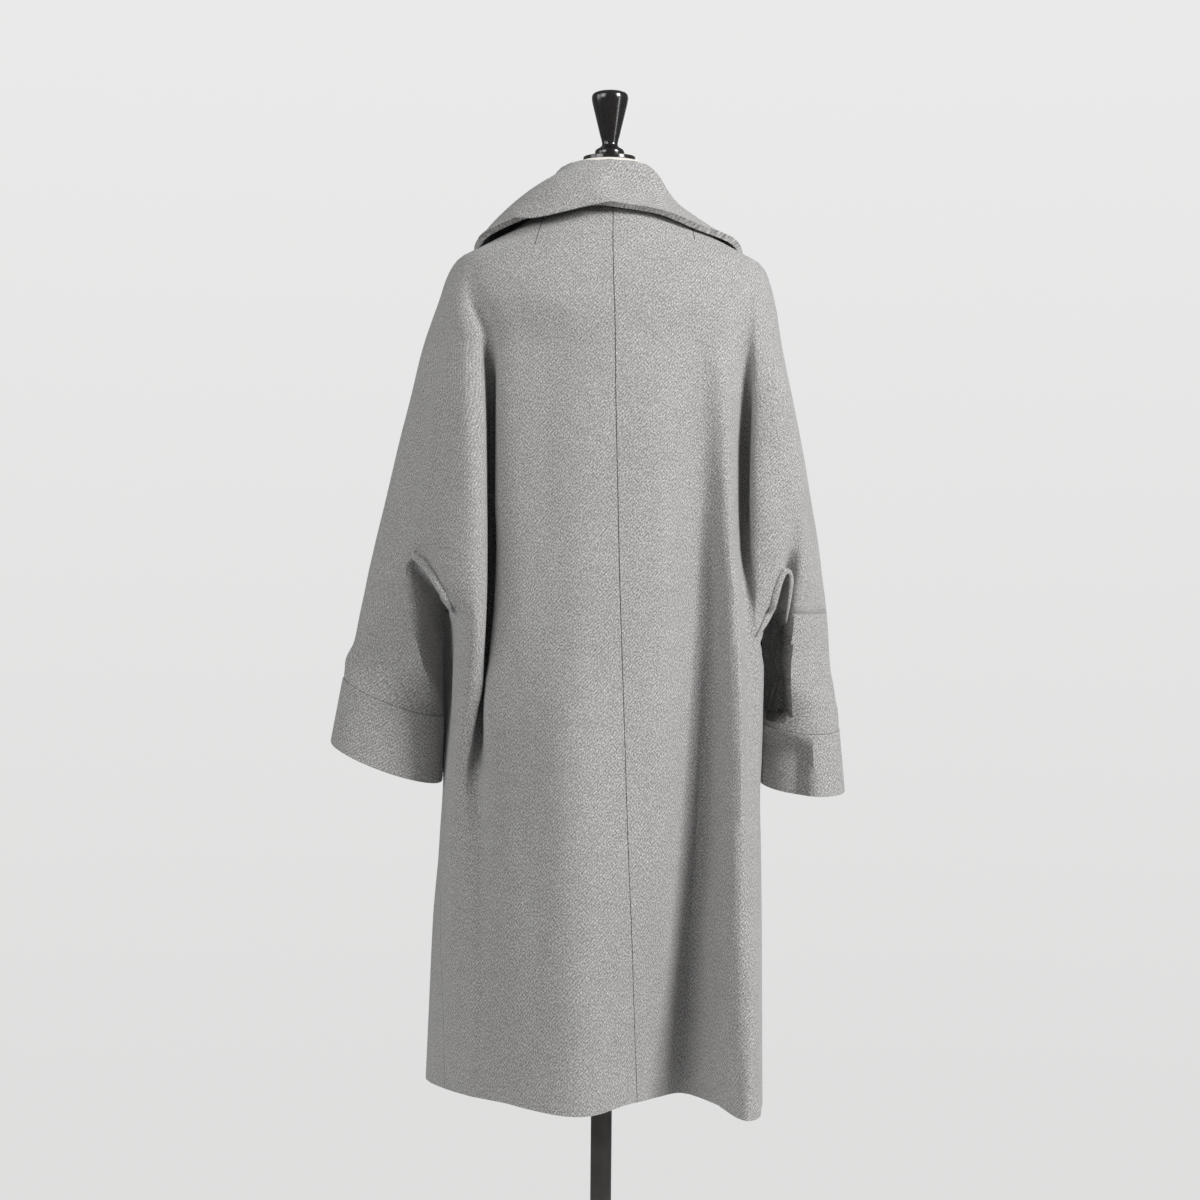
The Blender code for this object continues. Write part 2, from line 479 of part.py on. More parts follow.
def fill_skin(skin):
    """Sets out every row of the coat and the quads between them."""
    sides = (("left", LEFT_LINES, 1), ("right", RIGHT_LINES, -1))
    keys = BACK_KEYS + FRONT_KEYS
    faces = list(skin.back_faces) + list(skin.front_faces)
    middle = skin.last
    for row, level in enumerate(UPPER_ROWS):
        height = level * MM
        left, right = (half_ring(height, lines, sign, keys) for _, lines, sign in sides)
        ring = spline(right[::-1] + [centre_point(height)] + left, faces[::-1] + faces)
        for side, _, sign in sides:
            for col in range(skin.last + 1):
                skin.put(side, "upper", row, col, ring[middle + sign * col])
    body_keys = BACK_KEYS[:BACK_SEAM - 1] + ("side",) + FRONT_KEYS[2:]
    body_faces = list(skin.back_faces[:BACK_SEAM]) + list(skin.front_faces[2:])
    body_cols = list(range(skin.at_seam + 1)) + list(range(skin.at_front_seam + 1, skin.last + 1))
    for row, level in enumerate(BODY_ROWS, 1):
        height = level * MM
        left, right = (half_ring(height, lines, sign, body_keys) for _, lines, sign in sides)
        ring = spline(right[::-1] + [centre_point(height)] + left, body_faces[::-1] + body_faces)
        low_down = ease(HEM_HEIGHT + DIP_REACH - height, 0, DIP_REACH)
        for point in ring:
            # the flare that stands furthest back hangs a little lower
            point[2] -= HEM_DIP * ease(point[1], DIP_START, DIP_FULL) * low_down
        for side, _, sign in sides:
            for place, col in enumerate(body_cols):
                skin.put(side, "body", row, col, ring[len(body_cols) - 1 + sign * place])
    for side, lines, sign in sides:
        sleeve_faces = skin.sleeve_faces
        top_row = len(UPPER_ROWS) - 1
        top_ring = [skin.points[skin.vertex(side, "upper", top_row, skin.at_seam + step)]
                    for step in range(sum(sleeve_faces))]
        for row, share in enumerate(SLEEVE_STEPS[1:], 1):
            ring_keys = []
            for turn, key in zip(CUFF_TURNS[side], SLEEVE_KEYS):
                # the sleeve ends on its cuff's slope, so each fold line stops at its own height
                end = cuff_point(side, "top", math.radians(turn))[2]
                height = UNDERARM_HEIGHT + share * (end - UNDERARM_HEIGHT)
                ring_keys.append(line_point(lines[key], height, sign))
            ring = spline(ring_keys, sleeve_faces, closed=True)
            opening_out = ease(share, 0, UNDERARM_BLEND)
            rounding = ease(share, CUFF_BLEND, 1.0)
            shift = ring_keys[0] - top_ring[0]
            for step, turn in enumerate(cuff_turns(side, sleeve_faces)):
                folded = top_ring[step] + shift
                cuff = cuff_point(side, "top", turn)
                point = folded * (1 - opening_out) + ring[step] * opening_out
                point = point * (1 - rounding) + cuff * rounding
                point[2] = UNDERARM_HEIGHT + share * (cuff[2] - UNDERARM_HEIGHT)
                skin.put(side, "sleeve", row, skin.at_seam + step, point)
    for side in ("left", "right"):
        skin.add_quads(side, "upper", len(UPPER_ROWS) - 1, range(skin.last))
        body_columns = list(range(skin.at_seam)) + list(range(skin.at_front_seam, skin.last))
        skin.add_quads(side, "body", len(BODY_ROWS), body_columns)
        skin.add_quads(side, "sleeve", len(SLEEVE_STEPS) - 1, range(skin.at_seam, skin.at_front_seam))


def boundary_edges(quads):
    """Directed edges that only one of the quads has."""
    edges = set()
    for quad in quads:
        edges.update(zip(quad, quad[1:] + quad[:1]))
    return [(a, b) for a, b in edges if (b, a) not in edges]


def closed_wall(name, quads, outer, inner):
    """A mesh of the quads on the outer points, the same reversed on the inner ones, and the rim between.

    Each quad is split the same way on both faces, and two panels split their common seam's rim the same way.
    """
    used = sorted({v for quad in quads for v in quad})
    place = {v: i for i, v in enumerate(used)}
    count = len(used)
    vertices = [tuple(outer[v]) for v in used] + [tuple(inner[v]) for v in used]
    faces = []
    for quad in quads:
        a, b, c, d = (place[v] for v in quad)
        faces += [(a, b, c), (a, c, d)]
        faces += [(c + count, b + count, a + count), (d + count, c + count, a + count)]
    for first, second in boundary_edges(quads):
        a, b = place[first], place[second]
        if first < second:
            faces += [(b, a, b + count), (a, a + count, b + count)]
        else:
            faces += [(b, a, a + count), (b, a + count, b + count)]
    mesh = bpy.data.meshes.new(name)
    mesh.from_pydata(vertices, [], faces)
    mesh.validate()
    return mesh


def inset_at_seams(points, normals, quads, distance):
    """Points moved by distance away from the panel's own boundary, within its surface."""
    moved = {v: np.array(points[v]) for quad in quads for v in quad}
    along = {}
    for a, b in boundary_edges(quads):
        for v in (a, b):
            along[v] = along.get(v, 0) + np.array(points[b]) - np.array(points[a])
    inward = {v: np.zeros(3) for v in along}
    for quad in quads:
        middle = np.mean([points[v] for v in quad], axis=0)
        for v in quad:
            if v in inward:
                inward[v] += middle - points[v]
    for v, direction in along.items():
        tangent = direction / max(np.linalg.norm(direction), 1e-9)
        push = inward[v] - (inward[v] @ tangent) * tangent
        push -= (push @ normals[v]) * normals[v]
        moved[v] += distance * push / max(np.linalg.norm(push), 1e-9)
    return moved


def material(name, colour, roughness, metallic=0.0):
    made = bpy.data.materials.get(name) or bpy.data.materials.new(name)
    made.use_nodes = True
    shader = made.node_tree.nodes["Principled BSDF"]
    shader.inputs["Base Color"].default_value = (*colour, 1.0)
    shader.inputs["Roughness"].default_value = roughness
    shader.inputs["Metallic"].default_value = metallic
    return made


def add_object(name, mesh, surface, collection):
    """An object of the mesh, shaded smooth except at its true corners."""
    made = bpy.data.objects.new(name, mesh)
    mesh.materials.append(surface)
    mesh.shade_smooth()
    mesh.set_sharp_from_angle(angle=SHARP_ANGLE)
    collection.objects.link(made)
    return made


def make_panel(name, skin, normals, surface, collection):
    quads = [quad for panel, quad in skin.quads if panel == name]
    outer = inset_at_seams(skin.points, normals, quads, SEAM_GAP / 2)
    inner = {v: point - CLOTH * normals[v] for v, point in outer.items()}
    return add_object(name, closed_wall(name, quads, outer, inner), surface, collection)


def grid_normals(grid, closed):
    """Unit normals of a grid of points, rows first, whose columns may close on themselves."""
    if closed:
        across = np.roll(grid, -1, axis=1) - np.roll(grid, 1, axis=1)
    else:
        across = np.gradient(grid, axis=1)
    down = np.gradient(grid, axis=0)
    normal = np.cross(across, down)
    return normal / np.maximum(np.linalg.norm(normal, axis=2), 1e-12)[:, :, None]


def make_cuff(side, skin, normals, surface, collection):
    """A doubled band below the sleeve, from the sleeve's own last row to the cuff's foot."""
    ids = skin.sleeve_end(side)
    count = len(ids)
    top = np.array([skin.points[v] for v in ids]) - SEAM_GAP * mouth_axis(side)
    foot = np.array([cuff_point(side, "foot", turn) for turn in cuff_turns(side, skin.sleeve_faces)])
    grid = np.array([top * (1 - share) + foot * share for share in CUFF_ROWS])
    outward = grid_normals(grid, closed=True)
    if side == "right":
        outward = -outward
    outward[0] = np.array([normals[v] for v in ids])
    proud = (DOUBLED_CLOTH - CLOTH) / 2
    outer = grid + proud * outward
    inner = grid - (DOUBLED_CLOTH - proud) * outward
    quads = []
    for row in range(len(grid) - 1):
        upper, lower = row * count, (row + 1) * count
        for col in range(count):
            ahead = (col + 1) % count
            quad = (upper + col, upper + ahead, lower + ahead, lower + col)
            quads.append(quad if side == "left" else tuple(reversed(quad)))
    name = "cuff_" + side
    mesh = closed_wall(name, quads, outer.reshape(-1, 3), inner.reshape(-1, 3))
    return add_object(name, mesh, surface, collection)


def collar_stations(skin, normals):
    """For each half, the seam's points from the centre back to the lapel's break, with two directions.

    The first direction is the coat's outward one, the second leads off the coat's edge.
    """
    break_row = max(row for row, level in enumerate(UPPER_ROWS) if level * MM >= LAPEL_BREAK_HEIGHT)
    halves = []
    for side, sign in (("right", -1), ("left", 1)):
        columns = list(range(0, skin.at_over, NECK_STEP)) + list(range(skin.at_over, skin.last, NECK_STEP))
        neck = [(0, col) for col in columns + [skin.last]]
        front = [(row, skin.last) for row in range(1, break_row + 1)]
        ids = [skin.vertex(side, "upper", row, col) for row, col in neck + front]
        line = np.array([skin.points[v] for v in ids])
        along = np.gradient(line, axis=0)
        along[0] = (sign, 0, 0)
        half = []
        for v, point, tangent in zip(ids, line, along):
            away = sign * np.cross(tangent, normals[v])
            away /= np.linalg.norm(away)
            half.append((point - CLOTH / 2 * normals[v] + SEAM_GAP * away, normals[v], away))
        halves.append(half)
    return halves


def collar_section(seam, normal, roll, edge, bulge):
    """Points from the seam up the stand, round the roll and down the fall to the outer edge."""
    up = (roll - seam) / np.linalg.norm(roll - seam)
    over = normal - (normal @ up) * up
    over /= np.linalg.norm(over)
    fall = edge - roll
    lift = np.array([0, 0, 1.0]) - fall * fall[2] / (fall @ fall)
    lift *= bulge / np.linalg.norm(lift)
    keys = [
        seam,
        roll - ROLL_RADIUS * (over + up),
        roll,
        roll + ROLL_RADIUS * (over - up),
        *(roll + share * fall + height * lift for share, height in FALL_POINTS),
        edge,
    ]
    return spline(keys, COLLAR_FACES)


def clear_of_coat(grid, skin):
    """Moves the fall's points out to at least their clearance from the coat's outer surface."""
    tree = BVHTree.FromPolygons([Vector(p) for p in skin.points], [quad for _, quad in skin.quads])
    least = DOUBLED_CLOTH / 2 + COLLAR_CLEARANCE
    for station in grid:
        for place in range(sum(COLLAR_FACES[:3]), len(station)):
            near, normal, _, _ = tree.find_nearest(Vector(station[place]))
            away = (Vector(station[place]) - near) @ normal
            if away < least:
                station[place] += (least - away) * np.array(normal)
    return grid


def make_collar(skin, normals, surface, collection):
    rows, seam_normals = [], []
    for side, sign, half in zip(("right", "left"), (-1, 1), collar_stations(skin, normals)):
        length = 0.0
        sections = []
        for place, (seam, normal, away) in enumerate(half):
            if place:
                length += np.linalg.norm(seam - half[place - 1][0])
            roll = smooth_table(COLLAR_ROLL[side], length / MM) * MM * np.array([sign, 1, 1])
            lapel_roll = seam + LAPEL_ROLL_OUT * away + LAPEL_ROLL_UP * normal
            lapel = ease(length, LAPEL_START, LAPEL_WHOLE)
            roll = roll * (1 - lapel) + lapel_roll * lapel
            edge = smooth_table(COLLAR_EDGE[side], length / MM) * MM * np.array([sign, 1, 1])
            sections.append(collar_section(seam, normal, roll, edge, COLLAR_BULGE[side]))
            seam_normals.append(normal)
        rows.append(sections)
    grid = clear_of_coat(np.array(rows[0][::-1] + rows[1][1:]), skin)
    outward = grid_normals(grid, closed=False)
    # the collar's wall meets the coat's wall face to face along the seam
    count = len(rows[0])
    outward[:, 0] = np.array(seam_normals[:count][::-1] + seam_normals[count + 1:])
    half_wall = DOUBLED_CLOTH / 2
    stations, places = grid.shape[:2]
    quads = []
    for row in range(stations - 1):
        for col in range(places - 1):
            a = row * places + col
            quads.append((a, a + 1, a + places + 1, a + places))
    outer = (grid + half_wall * outward).reshape(-1, 3)
    inner = (grid - half_wall * outward).reshape(-1, 3)
    return add_object("collar", closed_wall("collar", quads, outer, inner), surface, collection)


def turned(name, profile, sides, surface, collection):
    """A turned solid round the Z axis, from rows of height and radius that run from the top down."""
    mesh = bpy.data.meshes.new(name)
    edges = [(k, k + 1) for k in range(len(profile) - 1)]
    mesh.from_pydata([(radius, 0, height) for height, radius in profile], edges, [])
    made = add_object(name, mesh, surface, collection)
    screw = made.modifiers.new("Turn", "SCREW")
    screw.steps = sides
    screw.render_steps = sides
    screw.use_smooth_shade = True
    screw.use_merge_vertices = True
    screw.merge_threshold = 0.01 * MM
    return made


def round_bar(name, foot, top, radius, surface, collection):
    """An upright cylinder between two heights on the Z axis."""
    bm = bmesh.new()
    bmesh.ops.create_cone(
        bm, cap_ends=True, segments=ROUND_SIDES, radius1=radius, radius2=radius, depth=top - foot,
    )
    mesh = bpy.data.meshes.new(name)
    bm.to_mesh(mesh)
    bm.free()
    made = add_object(name, mesh, surface, collection)
    made.location.z = (foot + top) / 2
    return made


def make_form(surface, collection):
    """The limbless form: ovals up the body, with the front and back depths of their own."""
    bm = bmesh.new()
    rings = []
    for height, width, back, front in FORM:
        ring = []
        for k in range(FORM_SIDES):
            a = 2 * math.pi * k / FORM_SIDES
            deep = back if math.sin(a) > 0 else front
            ring.append(bm.verts.new((width * math.cos(a) * MM, deep * math.sin(a) * MM, height * MM)))
        rings.append(ring)
    for low, high in zip(rings, rings[1:]):
        for k in range(FORM_SIDES):
            ahead = (k + 1) % FORM_SIDES
            bm.faces.new((low[k], low[ahead], high[ahead], high[k]))
    bm.faces.new(list(reversed(rings[0])))
    bm.faces.new(rings[-1])
    mesh = bpy.data.meshes.new("form_body")
    bm.to_mesh(mesh)
    bm.free()
    return add_object("form_body", mesh, surface, collection)


def main():
    for old in list(bpy.data.objects):
        bpy.data.objects.remove(old)
    collection = bpy.data.collections.new("tent_coat_on_dress_form")
    bpy.context.scene.collection.children.link(collection)

    wool = material("grey_wool", (0.30, 0.29, 0.285), 0.95)
    jersey = material("cream_jersey", (0.80, 0.77, 0.70), 0.9)
    black_wood = material("black_lacquered_wood", (0.02, 0.018, 0.017), 0.25)
    steel = material("dark_steel", (0.06, 0.055, 0.052), 0.45, 0.6)

    skin = Skin(BACK_FACES, FRONT_FACES)
    fill_skin(skin)
    normals = skin.normals()
    for name in ("back_left", "back_right", "front_left", "front_right"):
        make_panel(name, skin, normals, wool, collection)
    make_cuff("left", skin, normals, wool, collection)
    make_cuff("right", skin, normals, wool, collection)
    make_collar(skin, normals, wool, collection)

    make_form(jersey, collection)
    round_bar("neck_plate", PLATE_FOOT, PLATE_TOP, PLATE_RADIUS, black_wood, collection)
    finial = [(height * MM, radius * MM) for height, radius in FINIAL]
    turned("finial", finial, FINIAL_SIDES, black_wood, collection)
    base = (
        (BASE_THICKNESS, 0), (BASE_THICKNESS, BASE_RADIUS - BASE_EDGE),
        (BASE_THICKNESS - BASE_EDGE, BASE_RADIUS), (0, BASE_RADIUS), (0, 0),
    )
    turned("base", base, BASE_SIDES, steel, collection)
    socket_foot = BASE_THICKNESS + CONTACT_GAP
    socket_top = BASE_THICKNESS + SOCKET_HEIGHT
    socket = (
        (socket_top, 0), (socket_top, SOCKET_TOP_RADIUS - BASE_EDGE),
        (socket_top - BASE_EDGE, SOCKET_TOP_RADIUS), (socket_foot, SOCKET_FOOT_RADIUS), (socket_foot, 0),
    )
    turned("pole_socket", socket, ROUND_SIDES, steel, collection)
    round_bar("pole", socket_top + CONTACT_GAP, FORM_FOOT - CONTACT_GAP, POLE_RADIUS, steel, collection)


main()
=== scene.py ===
"""Looks of the tent coat on its dress form: fine cloth shells, sewing, materials, light and camera.

Metres, +Z up. The coat's back faces +Y and its left side +X. The cloth is the same skin of rings as
the solids have, set out finer and with soft creases, and each of its panels replaces its own solid.
"""

import math

import bmesh
import bpy
import numpy as np
from mathutils import Matrix, Vector
from mathutils.bvhtree import BVHTree


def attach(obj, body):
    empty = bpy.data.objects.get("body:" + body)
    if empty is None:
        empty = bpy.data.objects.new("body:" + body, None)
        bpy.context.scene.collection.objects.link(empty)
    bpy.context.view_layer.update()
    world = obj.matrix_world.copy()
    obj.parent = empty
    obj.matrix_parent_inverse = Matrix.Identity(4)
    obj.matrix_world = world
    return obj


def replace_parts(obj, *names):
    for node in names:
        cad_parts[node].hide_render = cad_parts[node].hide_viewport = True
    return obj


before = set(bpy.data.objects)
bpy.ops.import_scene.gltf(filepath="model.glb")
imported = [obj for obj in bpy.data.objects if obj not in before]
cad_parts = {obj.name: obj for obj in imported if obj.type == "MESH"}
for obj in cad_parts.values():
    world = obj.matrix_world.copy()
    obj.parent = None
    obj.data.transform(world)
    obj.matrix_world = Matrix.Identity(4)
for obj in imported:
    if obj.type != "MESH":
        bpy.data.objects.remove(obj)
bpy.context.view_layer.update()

MM = 0.001
BODY = "root"

# Driving sizes
CLOTH = 3.0 * MM
DOUBLED_CLOTH = 5.0 * MM
SEAM_GAP = 0.3 * MM
NECK_HEIGHT = 1447.0 * MM
HEM_HEIGHT = 415.0 * MM
HEM_DIP = 8.0 * MM
DIP_START = 150.0 * MM
DIP_FULL = 205.0 * MM
DIP_REACH = 250.0 * MM
UNDERARM_HEIGHT = 966.0 * MM
LAPEL_BREAK_HEIGHT = 1190.0 * MM
POLE_RADIUS = 12.3 * MM
POLE_ROUND = 0.6 * MM  # rounding of its edges
BASE_RADIUS = 180.0 * MM
BASE_THICKNESS = 10.0 * MM
BASE_ROUND = 2.4 * MM  # rounding of the base's and the socket's edges
SOCKET_HEIGHT = 45.0 * MM
SOCKET_FOOT_RADIUS = 26.0 * MM
SOCKET_TOP_RADIUS = 22.0 * MM
FORM_FOOT = 840.0 * MM
FORM_SIDES = 96
PLATE_FOOT = 1497.3 * MM
PLATE_TOP = 1502.3 * MM
PLATE_RADIUS = 31.5 * MM
PLATE_ROUND = 0.8 * MM
CONTACT_GAP = 0.3 * MM
ROUND_SIDES = 64
FINIAL_SIDES = 96
FINIAL_STEPS = 4  # rows between one point of its outline and the next
BASE_SIDES = 128

# Fold lines of the coat, as rows of height, distance from the middle and depth, in millimetres.
# Depth is positive towards the back. Names run from the centre back round to the front opening.
CENTRE_BACK = (
    (1447, -3, 62), (1420, -4, 80), (1390, -4, 98), (1350, -5, 113), (1300, -7, 124), (1200, -9, 132),
    (1100, -12, 137), (1000, -15, 143), (900, -19, 150), (800, -23, 156), (700, -27, 161),
    (600, -32, 162), (500, -36, 154), (415, -40, 142),
)
LEFT_LINES = {
    "mid": ((1280, 42, 122), (1200, 42, 131), (1100, 40, 138), (1000, 38, 146), (900, 36, 158),
            (800, 34, 172), (700, 31, 180), (600, 28, 187), (500, 24, 191), (415, 20, 192)),
    "hollow": ((1280, 92, 108), (1200, 95, 117), (1100, 97, 120), (1000, 97, 124), (900, 98, 131),
               (800, 96, 141), (700, 95, 152), (600, 92, 162), (500, 88, 168), (415, 84, 171)),
    "edge": ((1280, 122, 95), (1200, 126, 98), (1100, 126, 99), (1040, 124, 98), (980, 126, 98),
             (910, 132, 101), (882, 136, 102), (850, 137, 103), (815, 134, 107), (760, 129, 116),
             (700, 125, 125), (600, 123, 135), (500, 121, 141), (415, 119, 143)),
    "gap": ((1280, 135, 82), (1200, 130, 60), (1100, 129, 45), (1040, 128, 41), (980, 129, 43),
            (910, 134, 54), (850, 140, 66), (800, 143, 78), (770, 143, 87), (700, 140, 104),
            (600, 139, 117), (500, 139, 123), (415, 140, 124)),
    "turn": ((1280, 141, 82), (1200, 137, 58), (1100, 137, 43), (1040, 137, 39), (980, 138, 41),
             (910, 142, 52), (850, 147, 66), (800, 150, 78), (770, 150, 86), (700, 146, 100),
             (600, 145, 113), (500, 145, 119), (415, 146, 119)),
    "lip": ((1280, 150, 92), (1200, 143, 106), (1100, 139, 112), (1000, 137, 114), (950, 138, 112),
            (910, 140, 107), (882, 141, 103), (850, 147, 98), (815, 153, 92), (770, 160, 88),
            (700, 160, 93), (600, 158, 101), (500, 156, 106), (415, 156, 107)),
    "crest": ((1280, 162, 90), (1200, 158, 112), (1100, 152, 124), (1000, 148, 128), (950, 148, 124),
              (910, 151, 114), (882, 154, 106), (850, 160, 97), (815, 167, 87), (770, 173, 78),
              (700, 175, 78), (600, 172, 85), (500, 168, 91), (415, 166, 94)),
    "roll": ((1280, 172, 82), (1200, 178, 98), (1100, 184, 106), (1040, 190, 108), (1000, 190, 106),
             (980, 186, 102), (963, 174, 96), (950, 171, 90), (900, 174, 74), (850, 177, 62),
             (800, 181, 54), (750, 184, 52), (700, 184, 56), (600, 182, 66), (500, 178, 76), (415, 174, 82)),
    "seam": ((1280, 177, 76), (1200, 188, 86), (1100, 203, 88), (1045, 214, 82), (1018, 219, 66),
             (1000, 206, 46), (985, 193, 26), (966, 187, 5)),
    "flank": ((966, 204, 38), (930, 204, 34), (900, 202, 32), (870, 196, 30), (840, 194, 26)),
    "ridge": ((1280, 183, 68), (1200, 200, 72), (1100, 215, 73), (1018, 228, 70), (980, 225, 63),
              (950, 221, 60), (920, 216, 59), (900, 211, 58), (880, 206, 55), (840, 199, 44)),
    "over": ((1447, 60, 0), (1440, 72, 0), (1410, 120, 0), (1391, 156, 0), (1380, 177, 0),
             (1360, 190, 0), (1334, 199, 0), (1275, 219, 0), (1216, 233, -2), (1157, 248, -4),
             (1098, 262, -5), (1039, 276, -6), (980, 287, -6), (921, 299, -5), (892, 309, -3),
             (870, 312, 0)),
    "side": ((966, 187, 5), (950, 183, 8), (900, 179, 12), (850, 179, 16), (800, 183, 21),
             (750, 188, 25), (700, 190, 30), (600, 189, 46), (500, 184, 62), (415, 181, 71)),
    "inner": ((966, 187, 5), (950, 190, 8), (900, 191, 8), (840, 191, 6)),
    "f_ridge": ((1280, 190, -52), (1200, 208, -58), (1100, 232, -62), (1000, 252, -64), (920, 262, -62),
                (840, 262, -50)),
    "f_seam": ((1280, 172, -72), (1200, 184, -84), (1100, 196, -84), (1040, 200, -66), (1000, 194, -34),
               (985, 191, -18), (966, 187, 5)),
    "f_side": ((1280, 152, -90), (1200, 160, -103), (1100, 171, -106), (1030, 184, -92), (966, 196, -58),
               (930, 198, -50), (900, 199, -46), (850, 198, -40), (800, 195, -34), (760, 191, -28),
               (700, 194, -18), (600, 201, -2), (415, 206, 16)),
    "f_fold": ((1280, 128, -112), (1200, 132, -127), (1100, 142, -130), (1000, 155, -120),
               (900, 163, -113), (800, 170, -112), (700, 179, -110), (415, 194, -100)),
    "f_hollow": ((1280, 104, -124), (1200, 104, -136), (1000, 118, -132), (800, 127, -132),
                 (600, 137, -136), (415, 146, -142)),
    "f_chest": ((1280, 76, -134), (1200, 66, -150), (1100, 62, -157), (1000, 66, -154), (800, 74, -166),
                (600, 80, -184), (415, 86, -200)),
}
RIGHT_LINES = {
    "mid": ((1280, 52, 119), (1200, 54, 127), (1100, 56, 131), (1000, 58, 135), (900, 60, 138),
            (800, 62, 140), (700, 64, 140), (600, 65, 134), (500, 64, 123), (415, 62, 113)),
    "hollow": ((1280, 102, 104), (1200, 107, 105), (1100, 109, 99), (1000, 110, 95), (900, 110, 94),
               (800, 108, 95), (700, 104, 96), (600, 98, 95), (500, 94, 90), (415, 91, 85)),
    "edge": ((1280, 128, 98), (1200, 134, 107), (1100, 137, 112), (1040, 139, 114), (980, 145, 117),
             (910, 149, 123), (850, 151, 130), (770, 153, 141), (700, 153, 150), (600, 151, 163),
             (500, 149, 177), (415, 147, 187)),
    "gap": ((1280, 155, 83), (1200, 158, 67), (1150, 157, 59), (1100, 157, 61), (1040, 158, 71),
            (1000, 160, 84), (950, 161, 93), (900, 161, 99), (850, 161, 105), (770, 163, 121),
            (700, 165, 136), (600, 165, 160), (500, 164, 183), (415, 162, 201)),
    "turn": ((1280, 161, 81), (1200, 164, 66), (1150, 163, 58), (1100, 163, 61), (1040, 164, 73),
             (1000, 167, 86), (950, 167, 90), (900, 168, 92), (850, 169, 95), (770, 170, 110),
             (700, 172, 123), (600, 173, 145), (500, 174, 169), (415, 174, 189)),
    "lip": ((1280, 169, 82), (1200, 168, 88), (1100, 166, 90), (1040, 168, 92), (1000, 171, 93),
            (950, 173, 88), (900, 175, 86), (850, 177, 86), (800, 177, 90), (750, 176, 99),
            (700, 177, 108), (600, 178, 127), (500, 178, 148), (415, 178, 166)),
    "crest": ((1280, 178, 78), (1200, 186, 90), (1100, 190, 93), (1020, 190, 90), (980, 186, 84),
              (960, 180, 78), (900, 182, 68), (850, 182, 64), (800, 181, 68), (750, 179, 76),
              (700, 180, 84), (600, 181, 100), (500, 181, 120), (415, 181, 138)),
    "roll": ((1280, 184, 73), (1200, 199, 86), (1100, 206, 86), (1020, 204, 79), (1000, 201, 73),
             (980, 194, 66), (963, 183, 58), (950, 182, 52), (900, 184, 44), (850, 183, 40),
             (800, 182, 42), (760, 180, 45), (700, 181, 50), (600, 182, 62), (500, 182, 80), (415, 182, 98)),
    "seam": ((1280, 189, 67), (1200, 208, 78), (1100, 217, 78), (1045, 214, 68), (1018, 207, 50),
             (1000, 201, 32), (985, 193, 12), (966, 189, -10)),
    "flank": ((966, 204, 20), (950, 205, 18), (930, 207, 2), (905, 208, -18), (880, 207, -23),
              (858, 205, -2), (840, 203, 10)),
    "ridge": ((1280, 194, 60), (1200, 214, 65), (1100, 227, 65), (1040, 227, 62), (1010, 224, 58),
              (980, 219, 56), (930, 213, 55), (880, 212, 52), (840, 214, 46)),
    "over": ((1447, 60, 0), (1440, 72, 0), (1410, 118, 0), (1391, 152, 0), (1381, 171, 0),
             (1375, 180, 0), (1360, 188, 0), (1334, 194, 0), (1287, 203, 0), (1240, 212, -2),
             (1192, 222, -3), (1145, 232, -4), (1098, 242, -5), (1051, 251, -6), (1004, 257, -6),
             (956, 262, -6), (909, 265, -5), (862, 270, -3), (845, 273, -2)),
    "side": ((966, 189, -10), (950, 184, -8), (900, 180, -4), (800, 179, 2), (700, 181, 10),
             (600, 183, 20), (500, 184, 32), (415, 184, 44)),
    "inner": ((966, 189, -10), (950, 192, -12), (935, 191, -16), (905, 187, -45), (880, 186, -56),
              (858, 186, -34), (840, 187, -14)),
    "f_ridge": ((1280, 190, -48), (1200, 206, -60), (1100, 224, -72), (1000, 236, -82), (920, 240, -86),
                (840, 238, -82)),
    "f_seam": ((1280, 172, -70), (1200, 184, -84), (1100, 198, -90), (1040, 202, -82), (1000, 196, -54),
               (985, 192, -36), (966, 189, -10)),
    "f_side": ((1280, 152, -90), (1200, 160, -103), (1100, 170, -106), (1030, 180, -98), (966, 188, -80),
               (940, 182, -75), (900, 174, -68), (850, 174, -60), (800, 178, -50), (760, 180, -45),
               (700, 182, -35), (600, 186, -24), (415, 189, -8)),
    "f_fold": ((1280, 128, -112), (1200, 132, -127), (1100, 142, -130), (1000, 153, -124),
               (900, 158, -118), (700, 168, -112), (415, 178, -106)),
    "f_hollow": ((1280, 104, -124), (1200, 104, -136), (1000, 116, -134), (800, 122, -136),
                 (600, 128, -142), (415, 134, -148)),
    "f_chest": ((1280, 76, -134), (1200, 66, -150), (1100, 62, -158), (1000, 64, -156), (800, 70, -168),
                (600, 75, -188), (415, 80, -205)),
}
# The front opening, a V down to the lapels' break and then an overlap of 70 mm.
OPENING = (
    (1447, 60, -14), (1430, 71, -22), (1400, 73, -54), (1380, 69, -80), (1330, 56, -113),
    (1280, 44, -137), (1230, 32, -151), (1190, 19, -158), (1150, 5, -162), (1110, -22, -163),
    (1070, -35, -162), (1000, -35, -161), (800, -35, -173), (600, -35, -193), (415, -35, -211),
)
LEFT_FRONT_TUCK = 7.0 * MM  # the left front lies this much further in, under the right one
TUCK_START = 1250.0 * MM
TUCK_FULL = 1165.0 * MM
CHEST_TUCK = 0.6  # share of the tuck at the chest's fold line

